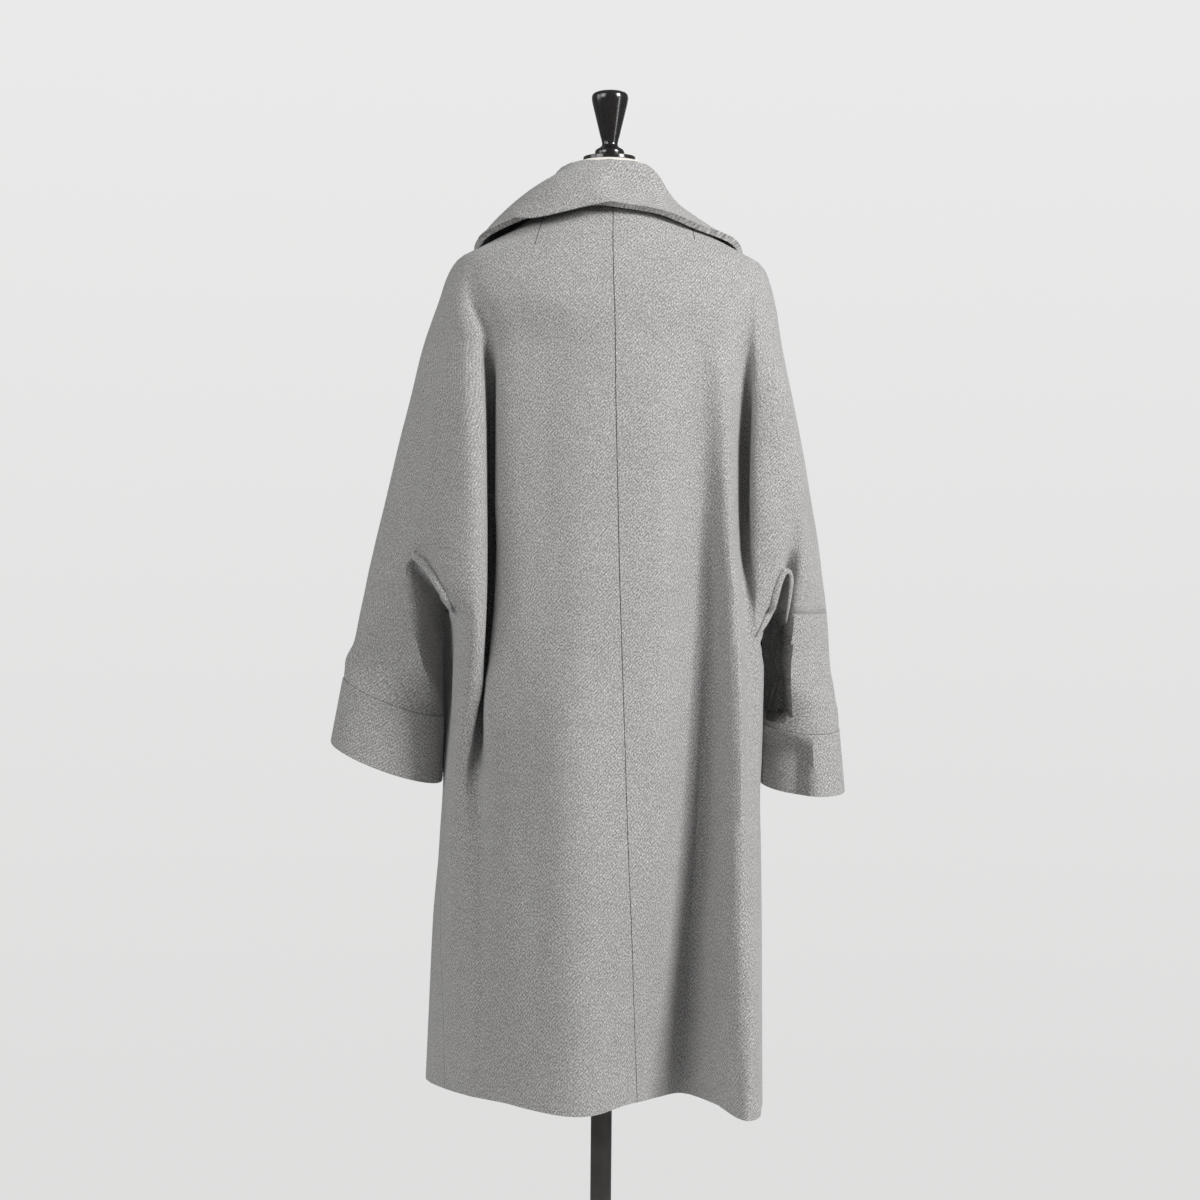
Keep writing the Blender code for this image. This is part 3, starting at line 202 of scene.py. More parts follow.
# Depth of the chest under the shoulders, by height
CHEST = ((1447, 36), (1430, 52), (1400, 76), (1380, 90), (1350, 105), (1330, 115), (1280, 132))
CAP_TOP = 1365.0 * MM  # above this the rings are plain ovals
CAP_FOOT = 1280.0 * MM  # below this they follow the fold lines
CAP_POWER = 2.15
NECK_DROP = 30.0 * MM  # the front of the neck's edge lies this much lower than its back
NECK_DROP_POWER = 1.6
NECK_CROWDING = 0.45  # how far the front's fold lines crowd towards the opening at the neck

BACK_KEYS = ("mid", "hollow", "edge", "gap", "turn", "lip", "crest", "roll", "seam", "ridge", "over")
BACK_SEAM = BACK_KEYS.index("seam") + 1  # below the underarm the skin parts at this fold line
FRONT_KEYS = ("f_ridge", "f_seam", "f_side", "f_fold", "f_hollow", "f_chest", "opening")
# Share of the quarter ring from the centre back to the shoulder line where each fold line starts
CAP_SHARE = {
    "mid": 0.20, "hollow": 0.38, "edge": 0.52, "gap": 0.59, "turn": 0.63, "lip": 0.67, "crest": 0.72,
    "roll": 0.79, "seam": 0.85, "ridge": 0.91, "over": 1.0,
}
# Faces between one fold line and the next, from the centre back to the front opening
FINER = 3  # fine faces for each face of the plain solid
BACK_FACES = tuple(FINER * count for count in (2, 2, 2, 2, 1, 2, 1, 2, 2, 3, 4))
FRONT_FACES = tuple(FINER * count for count in (3, 3, 1, 2, 1, 2, 3))


def finer(levels, step):
    """The levels with more between them, evenly, none further apart than step."""
    rows = []
    for high, low in zip(levels, levels[1:]):
        count = math.ceil(abs(high - low) / step)
        rows += [high + (low - high) * k / count for k in range(count)]
    return tuple(rows + [levels[-1]])


# Heights of the rows at the centre back, in millimetres
UPPER_ROWS = finer((1447, 1406, 1366, 1280, 1190, 1066), 6)[:-1] + finer((1066, 1018, 966), 3)
BODY_ROWS = finer((966, 950, 890, 770, 620, 415), 6.5)[1:]
SLEEVE_STEPS = finer((0.0, 0.3, 0.66, 1.0), 0.045)

# Cuffs' upper and lower edges: middle across and deep, half length, half depth, turn in degrees,
# height of the middle, rise towards the outside, fall towards the back
CUFFS = {
    "left": {
        "top": (249, 4, 59, 40, 4, 866, 0.37, 0.25),
        "foot": (257, 4, 65, 40, 4, 788, 0.36, 0.25),
    },
    "right": {
        "top": (231.5, -12, 45.5, 42, 0, 835, -0.09, 0.22),
        "foot": (235, -12, 49, 44, 0, 762, -0.09, 0.20),
    },
}
SLEEVE_KEYS = ("inner", "flank", "ridge", "over", "f_ridge")
FLANK_SHARE = 2 / 3  # share of the faces from the inner line to the ridge that lie before the flank
# Where round the cuff the sleeve's fold lines end, in degrees from its inner end over the back
CUFF_TURNS = {"left": (0, 13, 32, 180, 285, 360), "right": (0, 32, 65, 180, 285, 360)}
CUFF_BLEND = 0.5  # share of the sleeve's length after which it rounds out to its cuff
UNDERARM_BLEND = 0.4  # share over which it takes its own form, below the fold at the underarm
# Rows of a cuff between its upper edge, 0, and its lower edge, 1
CUFF_ROWS = (0.0, 0.03, 0.08, 0.2, 0.35, 0.5, 0.65, 0.8, 0.92, 0.97, 1.0)

# Collar lines by distance along its seam from the centre back, in millimetres: across, depth, height.
# The roll's line is for the neck; down the lapels the roll keeps to the front's own edge.
COLLAR_ROLL = {
    "left": (
        (0, 0, 62, 1488), (35, 35, 53, 1487), (70, 58, 32, 1480), (96, 65, 2, 1469), (130, 66, -28, 1448),
        (165, 66, -58, 1414),
    ),
    "right": (
        (0, 0, 62, 1488), (35, 34, 53, 1486), (70, 53, 32, 1474), (96, 57, 2, 1462), (130, 61, -28, 1442),
        (165, 66, -58, 1411),
    ),
}
LAPEL_START = 96.0 * MM
LAPEL_WHOLE = 165.0 * MM
LAPEL_ROLL_OUT = 10.0 * MM
LAPEL_ROLL_UP = 6.0 * MM
COLLAR_EDGE = {
    "left": (
        (0, 0, 90, 1434), (35, 54, 82, 1431), (70, 106, 62, 1419), (96, 151, 14, 1402),
        (130, 158, -34, 1388), (165, 157, -74, 1356), (200, 152, -104, 1320), (255, 138, -134, 1268),
        (310, 110, -156, 1222), (365, 72, -170, 1184), (410, 38, -178, 1166),
    ),
    "right": (
        (0, 0, 90, 1434), (35, 56, 79, 1427), (70, 104, 60, 1412), (96, 147, 14, 1401),
        (130, 156, -34, 1387), (165, 157, -74, 1356), (200, 152, -104, 1320), (255, 138, -134, 1268),
        (310, 110, -156, 1222), (365, 72, -170, 1184), (410, 38, -178, 1166),
    ),
}
NECK_STEP = 2  # the collar has a section at each second point of the neck
# How far the fall stands up between its roll and its edge, and where its two middle points lie:
# share of the way down the fall, share of the bulge
COLLAR_BULGE = {"left": 7.0 * MM, "right": -5.0 * MM}
FALL_POINTS = ((0.4, 0.96), (0.72, 0.8))
ROLL_RADIUS = 5.0 * MM
# Fine faces between the seam, the roll's three points, the fall's two and its edge
COLLAR_FACES = (6, 4, 4, 8, 6, 6)
COLLAR_CLEARANCE = 4.5 * MM  # between the coat and the collar's fall

# Dress form: height, half width, depth to the back and depth to the front, in millimetres
FORM = (
    (840, 136, 92, 96), (846, 141, 97, 101), (880, 143, 99, 104), (920, 140, 98, 103),
    (1000, 122, 88, 96), (1080, 106, 80, 90), (1170, 122, 88, 108), (1250, 136, 96, 120),
    (1320, 152, 97, 104), (1350, 164, 93, 92), (1367, 168, 87, 84), (1378, 163.5, 81, 77),
    (1388, 150.4, 76, 72), (1400, 125, 70, 67), (1412, 96, 63, 61), (1426, 67, 55, 54), (1440, 51, 48, 48),
    (1460, 47, 47, 47),
    (1486, 46, 46, 46), (1494, 42, 42, 42), (1497, 34, 34, 34),
)
# Finial outline from its dome down to the neck plate: height and radius in millimetres
FINIAL = (
    (1581, 0), (1580.3, 10), (1578.4, 18), (1576, 21.2), (1572.5, 22.0), (1568, 21.6), (1550, 17.3),
    (1530, 12.4), (1517, 9.6), (1514, 12), (1510.5, 17), (1507, 17.8), (1503.5, 17), (1502.6, 14),
    (1502.6, 0),
)

# Soft creases: which way the cloth faces there, points across and up in millimetres, half width and
# height, negative for a trough. Across is X on the back and front, and Y on the sleeves' outer sides.
CREASES = (
    ("back", ((168, 1318), (196, 1215), (209, 1127), (219, 1030)), 8, 2.4),
    ("back", ((182, 1300), (212, 1200), (226, 1110), (232, 1030)), 15, -2.6),
    ("back", ((219, 990), (214, 930), (202, 862)), 9, 1.8),
    ("back", ((232, 985), (229, 930), (220, 880)), 12, -1.8),
    ("back", ((158, 1330), (150, 1285), (147, 1230)), 14, -2.0),
    ("back", ((60, 1330), (72, 1180), (66, 1010), (58, 860)), 30, -2.6),
    ("back", ((100, 1200), (108, 1060), (104, 900)), 18, 1.6),
    ("back", ((30, 940), (36, 760), (30, 560), (24, 430)), 34, 2.0),
    ("back", ((84, 800), (78, 640), (70, 450)), 26, -2.0),
    ("back", ((-150, 1335), (-156, 1280), (-158, 1220)), 13, -1.6),
    ("back", ((-60, 1280), (-66, 1120), (-62, 960)), 26, 1.8),
    ("back", ((-205, 1060), (-196, 1110), (-186, 1170)), 10, -1.8),
    ("back", ((-196, 1020), (-184, 1060), (-176, 1110)), 7, 1.4),
    ("front", ((96, 1330), (128, 1230), (160, 1120), (182, 1040)), 15, -2.6),
    ("front", ((118, 1320), (152, 1210), (186, 1090)), 11, 2.0),
    ("front", ((-92, 1330), (-126, 1220), (-160, 1110), (-184, 1040)), 17, -2.4),
    ("front", ((-120, 1310), (-150, 1215), (-188, 1095)), 12, 1.8),
    ("front", ((100, 1060), (112, 880), (118, 680), (122, 460)), 24, -2.6),
    ("front", ((60, 960), (66, 780), (72, 600), (74, 440)), 26, 2.2),
    ("front", ((-98, 1080), (-108, 900), (-112, 700), (-116, 450)), 22, -2.4),
    ("front", ((-70, 900), (-74, 700), (-80, 460)), 24, 1.8),
    ("back", ((225, 1021), (212, 1026), (199, 996), (182, 978), (166, 955)), 4.5, 1.8),
    ("back", ((213, 1040), (203, 1018), (188, 996), (174, 980)), 5, -1.5),
    ("back", ((-213, 984), (-213, 1006), (-207, 1019), (-198, 992), (-184, 960), (-171, 938)), 4.5, 1.8),
    ("back", ((-207, 1040), (-196, 1012), (-184, 984), (-172, 962)), 5, -1.2),
    ("left", ((-20, 1180), (-10, 1090), (4, 1000)), 16, -1.2),
    ("left", ((30, 930), (0, 915), (-34, 922)), 9, 1.2),
    ("left", ((34, 908), (0, 894), (-30, 902)), 7, -0.9),
    ("right", ((18, 1150), (0, 1060), (-10, 980)), 15, -1.0),
    ("right", ((26, 900), (-10, 884), (-44, 892)), 9, 0.8),
    ("right", ((22, 876), (-12, 862), (-40, 868)), 7, -0.6),
    ("right_inner", ((6, 985), (2, 950), (-6, 890)), 26, 11),
    ("back", ((-112, 1100), (-115, 960), (-114, 830), (-111, 720), (-104, 620), (-94, 520), (-88, 405)),
     15, -6),
    ("back", ((-143, 980), (-146, 800), (-144, 600)), 13, 3),
)
# The way each of them faces, and the side of the coat that it is on, or 0 for both
CREASE_FACING = {
    "back": ((0, 1), 0),
    "front": ((0, -1), 0),
    "left": ((1, 0), 1),
    "right": ((-1, 0), -1),
    "right_inner": ((1, 0), -1),
}
# The deep hollow between the right sleeve and the body, as an outline across and up, in millimetres
HOLLOW = (
    (-203, 975), (-212, 953), (-215, 929), (-213, 911), (-216, 876), (-217, 852), (-207, 841), (-190, 842),
    (-184, 876), (-183, 905), (-178, 933), (-188, 955), (-196, 967),
)
HOLLOW_FLOOR = -22 * MM  # the depth of its far wall
HOLLOW_EDGE = 3 * MM  # the width over which the cloth goes down to it
# The sleeves' own rows start at the underarm; the cloth runs on evenly there, outside these distances
EASED_FROM = 212 * MM
EASED_WHOLE = 222 * MM
EASED_ROWS = 9
EASED_PASSES = 24
# The inner part of the right cuff lies back in the body's shadow
CUFF_SET_BACK = 15 * MM
CUFF_SET_FROM = -243 * MM  # across
CUFF_SET_WHOLE = -228 * MM
CUFF_SET_DEPTHS = (-15 * MM, 0.0)  # it is the cuff's back that is set back
CUFF_SET_ROWS = 0.3  # share of the cuff's height over which this starts
# A crease starts where the cloth faces its way by the first share, and is whole from the second one
FACING_FROM = 0.1
FACING_FULL = 0.5
END_TAPER = 0.22  # share of a crease's length over which it rises from each end
END_LEAST = 0.15  # share of its height that it has at its ends

# Panels by name: turn of the cloth's grain across, so that the twill rises to the right on each
GRAIN_SIGN = {"back_left": -1, "back_right": 1, "front_left": 1, "front_right": -1}

EDGE_ROUND = 1.4 * MM  # rounding of the cloth's edges, which makes the grooves at the seams
COLLAR_EDGE_ROUND = 2.8 * MM
SEAM_OPENING = 0.9 * MM  # width of the groove at a seam
SEAM_DEPTH = 1.3 * MM
SEAM_CORD = 0.75 * MM  # radius of the folded cloth at the bottom of the groove
TUBE_SIDES = 6
ROUND_SEGMENTS = 3
RIM_ANGLE = math.radians(50)
RIM_SHIFT = 3.0 * MM  # how far the weave moves on from the outer face to the inner one, round the rim

COLLAR_GRAIN = (0.6, 0.8)  # depth and height, as the shares of them that lie along the collar's cloth
COLLAR_RIDGE = -20 * MM  # the depth of its ridge over the shoulders, where its fall turns to the front

# The collar's sewn edge: two rows of stitches, sunk in, with the cloth a little puffed between them
EDGE_FACES = (0.0, 1.8, 3.6, 5.4, 6.8, 7.9, 9.0, 10.6, 12.6)  # millimetres in from the collar's edge
PLAIN_FROM = 15.6 * MM  # from here on in, the collar's faces are even
STITCH_ROWS = (6.8 * MM, 9.0 * MM)
STITCH_SINK = 1.3 * MM
EDGE_PUFF = 1.1 * MM  # the rolled edge outside the stitches is this much thicker on each face
PUFF_REACH = 6.0 * MM
SINK_WIDTH = 1.4 * MM
STITCH_LENGTH = 3.4 * MM
STITCH_GAP = 1.6 * MM
STITCH_RADIUS = 0.42 * MM
STITCH_SIDES = 6
# A stitch's rings: share of its length, share of its radius, height over the cloth in radii
STITCH_SHAPE = (
    (0.0, 0.25, -0.6), (0.12, 0.85, 0.15), (0.5, 1.0, 0.45), (0.88, 0.85, 0.15), (1.0, 0.25, -0.6),
)
STITCH_CLEAR = 4  # the collar's stitches stop this many points before its ends
CUFF_STITCHES = (1.6, 3.4)  # places of the rows beside the cuff's upright seam, in its columns
FRONT_STITCH_TOP = LAPEL_BREAK_HEIGHT - 8 * MM
FRONT_STITCH_COLUMNS = 6  # columns at the front's edge that its stitches lie in

# The collar's under layer, which shows past its edge at the left: place across, and how far it shows
TURN_REACH = ((4, 0), (30, 4), (50, 8), (68, 10.5), (80, 10), (92, 7), (104, 2), (112, -2))
TURN_INSIDE = 12 * MM  # how far it goes in under the collar's edge
TURN_LEAST = 0.3  # the least that it shows, in millimetres
TURN_WALL = 2 * MM
TURN_SINK = 4.8 * MM  # from the collar's middle to the under layer's
TURN_STITCH = 4.2 * MM  # from its edge to its one row of stitches
TURN_FACES = 12
TURN_AHEAD = 5  # the collar's point, counted from its edge, that gives the way ahead

# The cloth rolled over at the underarms: places across and up, and the roll's radius
UNDERARM_ROLLS = {
    "left": ((231, 1008, 1.0), (229, 1021, 3.4), (221, 1028, 4.8), (212, 1023, 5.4), (201, 1010, 5.2),
             (192, 996, 4.8), (182, 980, 3.6), (174, 964, 1.2)),
    "right": ((-172, 940, 0.8), (-181, 953, 3.4), (-190, 972, 4.8), (-195, 990, 4.6), (-200, 1006, 4.0),
              (-206, 1015, 3.6), (-212, 1014, 3.4), (-214, 1004, 3.2), (-213, 990, 2.8), (-211, 974, 2.2),
              (-209, 956, 0.8)),
}
ROLL_STEPS = 6  # points for each stretch of a roll
ROLL_SIDES = 16
ROLL_REACH = 4 * MM  # how far to each side the roll looks for the cloth that carries it
ROLL_SINK = 0.45  # share of its radius that the roll's middle lies below the cloth
ROLL_PASSES = 6  # times that its depth is evened out
ROLL_LEAST = 0.3 * MM  # its least radius
ROLL_CLOTH = 4 * MM  # cloth round it for each radian

# Darts at the back neck, as places across and up from the top down, in millimetres
DARTS = (
    ((75, 1432), (78, 1418), (83, 1398), (87, 1378)),
    ((-94, 1420), (-97, 1405), (-99, 1392)),
)
DART_RADIUS = 0.5 * MM
DART_STEP = 4
DART_SINK = 0.35  # share of its radius that a dart's middle lies below the cloth
DART_FADE = 0.75  # share of its length after which it dips out of sight

TWILL_PERIOD = 3.0 * MM
FORM_RINGS = 90
CAMERA_PLACE = (0.0071, 3.0, 0.98)
CAMERA_TARGET = (0.0071, 0.0, 0.98)
CAMERA_LENS = 76.26
CAMERA_SENSOR = 36.0
CAMERA_ROLL = math.radians(0.52)

FLOOR_RADIUS = 1.15
FLOOR_DROP = 0.5 * MM  # below the base
WORLD_LIGHT = 0.17
BACKDROP_REACH = 0.2  # how far up and down the backdrop's painted light gradient changes, as a direction's height
# Lights: place, what it is aimed at, width and height in metres, and watts
LIGHTS = {
    "key": ((-2.05, 1.65, 2.45), (0, 0, 1.15), (0.9, 1.2), 98),
    "fill": ((2.4, 2.3, 2.35), (0, 0, 1.2), (1.6, 1.6), 46),
    "side": ((3.0, 0.7, 2.0), (0, 0, 1.1), (1.4, 1.4), 18),
    "strip": ((-1.95, 1.2, 1.05), (0, 0, 1.5), (0.3, 1.2), 7),
    "front": ((-1.4, -3.0, 2.0), (0, 0, 1.0), (2.4, 2.4), 34),
}


def smooth_table(rows, at):
    """Monotone cubic through a table's rows, by its first column; one value for each other column."""
    rows = np.array(sorted(rows), float)
    t, values = rows[:, 0], rows[:, 1:]
    step = np.diff(t)[:, None]
    slope = np.diff(values, axis=0) / step
    tangent = np.zeros_like(values)
    for k in range(1, len(t) - 1):
        same = slope[k - 1] * slope[k] > 0
        w0, w1 = 2 * step[k] + step[k - 1], step[k] + 2 * step[k - 1]
        safe0 = np.where(same, slope[k - 1], 1)
        safe1 = np.where(same, slope[k], 1)
        tangent[k] = np.where(same, (w0 + w1) / (w0 / safe0 + w1 / safe1), 0)
    tangent[0], tangent[-1] = slope[0], slope[-1]
    at = min(max(at, t[0]), t[-1])
    k = int(np.clip(np.searchsorted(t, at, side="right") - 1, 0, len(t) - 2))
    h = t[k + 1] - t[k]
    s = (at - t[k]) / h
    return (
        (2 * s**3 - 3 * s**2 + 1) * values[k]
        + (s**3 - 2 * s**2 + s) * h * tangent[k]
        + (3 * s**2 - 2 * s**3) * values[k + 1]
        + (s**3 - s**2) * h * tangent[k + 1]
    )


def ease(value, low, high):
    """0 below low, 1 above high, smooth between."""
    s = min(max((value - low) / (high - low), 0.0), 1.0)
    return s * s * (3 - 2 * s)


def spline(points, faces, closed=False):
    """Points along a centripetal Catmull-Rom curve through points, with faces[k] steps in span k."""
    p = np.array(points, float)
    if closed:
        p = np.vstack([p[-1], p, p[0], p[1]])
    else:
        p = np.vstack([2 * p[0] - p[1], p, 2 * p[-1] - p[-2]])
    out = []
    for k, count in enumerate(faces):
        p0, p1, p2, p3 = p[k:k + 4]
        d1 = max(np.linalg.norm(p1 - p0), 1e-6) ** 0.5
        d2 = max(np.linalg.norm(p2 - p1), 1e-6) ** 0.5
        d3 = max(np.linalg.norm(p3 - p2), 1e-6) ** 0.5
        m1 = d2 * ((p1 - p0) / d1 - (p2 - p0) / (d1 + d2) + (p2 - p1) / d2)
        m2 = d2 * ((p2 - p1) / d2 - (p3 - p1) / (d2 + d3) + (p3 - p2) / d3)
        for i in range(count):
            s = i / count
            out.append(
                (2 * s**3 - 3 * s**2 + 1) * p1
                + (s**3 - 2 * s**2 + s) * m1
                + (3 * s**2 - 2 * s**3) * p2
                + (s**3 - s**2) * m2
            )
    if not closed:
        out.append(p[-2])
    return np.array(out)


def line_point(rows, height, sign):
    """The point of a fold line at a height, on the side that sign gives."""
    across, depth = smooth_table(rows, height / MM) * MM
    return np.array([sign * across, depth, height])


def centre_point(height):
    across, depth = smooth_table(CENTRE_BACK, height / MM) * MM
    return np.array([across, depth, height])


def key_point(key, height, lines, sign):
    """A fold line's point: on the plain oval of the shoulders near the neck, on its own line lower down."""
    over_x, over_y = smooth_table(lines["over"], height / MM) * MM
    if key == "over":
        return np.array([sign * over_x, over_y, height])
    open_x, open_y = smooth_table(OPENING, height / MM) * MM
    if key == "opening" and height < CAP_TOP:
        tuck = LEFT_FRONT_TUCK * (1 - ease(height, TUCK_FULL, TUCK_START)) if sign > 0 else 0.0
        return np.array([sign * open_x, open_y + tuck, height])
    if height <= CAP_FOOT:
        own = line_point(lines[key], height, sign)
        if sign > 0 and key == "f_chest":
            own[1] += CHEST_TUCK * LEFT_FRONT_TUCK * (1 - ease(height, TUCK_FULL, TUCK_START))
        return own
    if key in CAP_SHARE:
        share, reach = CAP_SHARE[key], smooth_table(CENTRE_BACK, height / MM)[1] * MM
    else:
        start = math.asin(min(1.0, abs(open_x) / over_x) ** (CAP_POWER / 2)) / (math.pi / 2)
        place = (FRONT_KEYS.index(key) + 1) / len(FRONT_KEYS)
        place **= 1 - NECK_CROWDING * ease(height, CAP_FOOT, NECK_HEIGHT)
        share, reach = 1 - place * (1 - start), -smooth_table(CHEST, height / MM)[0] * MM
    turn = share * math.pi / 2
    oval = np.array([
        sign * over_x * math.sin(turn) ** (2 / CAP_POWER),
        over_y * share + reach * max(math.cos(turn), 0.0) ** (2 / CAP_POWER),
        height,
    ])
    if key == "opening":
        return oval
    own = line_point(lines[key], height, sign)
    blend = ease(height, CAP_FOOT, CAP_TOP)
    return own * (1 - blend) + oval * blend


def cuff_turns(side, faces):
    """Angles round a cuff's oval for the sleeve's columns."""
    turns = []
    for start, end, count in zip(CUFF_TURNS[side], CUFF_TURNS[side][1:], faces):
        turns += [math.radians(start + (end - start) * k / count) for k in range(count)]
    return turns


def cuff_point(side, end, turn):
    """A point on a cuff's oval at its top or foot. Turn runs from the seam over the back to the front."""
    x, y, half_length, half_depth, yaw, height, rise, fall = CUFFS[side][end]
    sign = 1 if side == "left" else -1
    u, v = -half_length * math.cos(turn), half_depth * math.sin(turn)
    a = math.radians(yaw)
    across = u * math.cos(a) - v * math.sin(a)
    deep = u * math.sin(a) + v * math.cos(a)
    return np.array([sign * (x + across), y + deep, height + rise * across - fall * deep]) * MM


class Skin:
    """The coat's outer surface: vertices, and quads that each belong to one panel."""

    def __init__(self, back_faces, front_faces):
        self.back_faces, self.front_faces = back_faces, front_faces
        self.at_seam = sum(back_faces[:BACK_SEAM])
        self.at_over = sum(back_faces)
        self.at_front_seam = self.at_over + sum(front_faces[:2])
        self.last = self.at_over + sum(front_faces)
        to_ridge, to_over = back_faces[BACK_SEAM:]
        to_flank = round(FLANK_SHARE * to_ridge)
        self.sleeve_faces = [to_flank, to_ridge - to_flank, to_over, *front_faces[:2]]
        self.points, self.index, self.quads = [], {}, []
        self.plain = self.points  # as they are before the creases

    def name_of(self, side, part, row, col):
        """The key under which a grid place is stored, so that seams share their vertices."""
        if col == 0:
            side = "middle"
        if part != "upper" and col == self.at_front_seam:
            col = self.at_seam
        return side, part, row, col

    def put(self, side, part, row, col, point):
        name = self.name_of(side, part, row, col)
        if name not in self.index:
            self.index[name] = len(self.points)
            self.points.append(np.array(point, float))

    def vertex(self, side, part, row, col):
        if part != "upper" and row == 0:
            part, row = "upper", len(UPPER_ROWS) - 1
        if part == "upper" and row == len(UPPER_ROWS) - 1 and col == self.at_front_seam:
            col = self.at_seam
        return self.index[self.name_of(side, part, row, col)]

    def add_quads(self, side, part, rows, columns):
        for row in range(rows):
            for col in columns:
                corners = [
                    self.vertex(side, part, row, col),
                    self.vertex(side, part, row, col + 1),
                    self.vertex(side, part, row + 1, col + 1),
                    self.vertex(side, part, row + 1, col),
                ]
                if side == "right":
                    corners.reverse()
                panel = ("back_" if col < self.at_over else "front_") + side
                self.quads.append((panel, tuple(corners)))

    def sleeve_end(self, side):
        last = len(SLEEVE_STEPS) - 1
        return [self.vertex(side, "sleeve", last, self.at_seam + k) for k in range(sum(self.sleeve_faces))]

    def normals(self):
        total = np.zeros((len(self.points), 3))
        points = np.array(self.points)
        for _, quad in self.quads:
            a, b, c, d = points[list(quad)]
            facing = np.cross(c - a, d - b)
            total[list(quad)] += facing / max(np.linalg.norm(facing), 1e-12)
        for side in ("left", "right"):
            # the lowest point of the underarm faces straight down
            total[self.vertex(side, "upper", len(UPPER_ROWS) - 1, self.at_seam)] = (0, 0, -1)
            # the sleeve's end faces out in the plane of its cuff
            axis = mouth_axis(side)
            for v in self.sleeve_end(side):
                total[v] -= (total[v] @ axis) * axis
        return total / np.maximum(np.linalg.norm(total, axis=1), 1e-12)[:, None]

    def tree(self):
        """The outer surface, to find the nearest place on it."""
        return BVHTree.FromPolygons([Vector(p) for p in self.points], [quad for _, quad in self.quads])


def mouth_axis(side):
    """The upward direction square to the mouth of the sleeve."""
    a, b, c = (cuff_point(side, "top", math.radians(turn)) for turn in (0, 120, 240))
    axis = np.cross(b - a, c - a)
    axis *= math.copysign(1, axis[2])
    return axis / np.linalg.norm(axis)


def half_ring(height, lines, sign, keys):
    """One side's fold line points; near the neck the ring tilts down to the front."""
    drop = NECK_DROP * max(0.0, (height - CAP_FOOT) / (NECK_HEIGHT - CAP_FOOT))
    ring = []
    for key in keys:
        place = (FRONT_KEYS.index(key) + 1) / len(FRONT_KEYS) if key in FRONT_KEYS else 0
        ring.append(key_point(key, height - drop * place**NECK_DROP_POWER, lines, sign))
    return ring


def fill_skin(skin):
    """Sets out every row of the coat and the quads between them."""
    sides = (("left", LEFT_LINES, 1), ("right", RIGHT_LINES, -1))
    keys = BACK_KEYS + FRONT_KEYS
    faces = list(skin.back_faces) + list(skin.front_faces)
    middle = skin.last
    for row, level in enumerate(UPPER_ROWS):
        height = level * MM
        left, right = (half_ring(height, lines, sign, keys) for _, lines, sign in sides)
        ring = spline(right[::-1] + [centre_point(height)] + left, faces[::-1] + faces)
        for side, _, sign in sides:
            for col in range(skin.last + 1):
                skin.put(side, "upper", row, col, ring[middle + sign * col])
    body_keys = BACK_KEYS[:BACK_SEAM - 1] + ("side",) + FRONT_KEYS[2:]
    body_faces = list(skin.back_faces[:BACK_SEAM]) + list(skin.front_faces[2:])
    body_cols = list(range(skin.at_seam + 1)) + list(range(skin.at_front_seam + 1, skin.last + 1))
    for row, level in enumerate(BODY_ROWS, 1):
        height = level * MM
        left, right = (half_ring(height, lines, sign, body_keys) for _, lines, sign in sides)
        ring = spline(right[::-1] + [centre_point(height)] + left, body_faces[::-1] + body_faces)
        low_down = ease(HEM_HEIGHT + DIP_REACH - height, 0, DIP_REACH)
        for point in ring:
            # the flare that stands furthest back hangs a little lower
            point[2] -= HEM_DIP * ease(point[1], DIP_START, DIP_FULL) * low_down
        for side, _, sign in sides:
            for place, col in enumerate(body_cols):
                skin.put(side, "body", row, col, ring[len(body_cols) - 1 + sign * place])
    for side, lines, sign in sides:
        sleeve_faces = skin.sleeve_faces
        top_row = len(UPPER_ROWS) - 1
        top_ring = [skin.points[skin.vertex(side, "upper", top_row, skin.at_seam + step)]
                    for step in range(sum(sleeve_faces))]
        for row, share in enumerate(SLEEVE_STEPS[1:], 1):
            ring_keys = []
            for turn, key in zip(CUFF_TURNS[side], SLEEVE_KEYS):
                # the sleeve ends on its cuff's slope, so each fold line stops at its own height
                end = cuff_point(side, "top", math.radians(turn))[2]
                height = UNDERARM_HEIGHT + share * (end - UNDERARM_HEIGHT)
                ring_keys.append(line_point(lines[key], height, sign))
            ring = spline(ring_keys, sleeve_faces, closed=True)
            opening_out = ease(share, 0, UNDERARM_BLEND)
            rounding = ease(share, CUFF_BLEND, 1.0)
            shift = ring_keys[0] - top_ring[0]
            for step, turn in enumerate(cuff_turns(side, sleeve_faces)):
                folded = top_ring[step] + shift
                cuff = cuff_point(side, "top", turn)
                point = folded * (1 - opening_out) + ring[step] * opening_out
                point = point * (1 - rounding) + cuff * rounding
                point[2] = UNDERARM_HEIGHT + share * (cuff[2] - UNDERARM_HEIGHT)
                skin.put(side, "sleeve", row, skin.at_seam + step, point)
    for side in ("left", "right"):
        skin.add_quads(side, "upper", len(UPPER_ROWS) - 1, range(skin.last))
        body_columns = list(range(skin.at_seam)) + list(range(skin.at_front_seam, skin.last))
        skin.add_quads(side, "body", len(BODY_ROWS), body_columns)
        skin.add_quads(side, "sleeve", len(SLEEVE_STEPS) - 1, range(skin.at_seam, skin.at_front_seam))


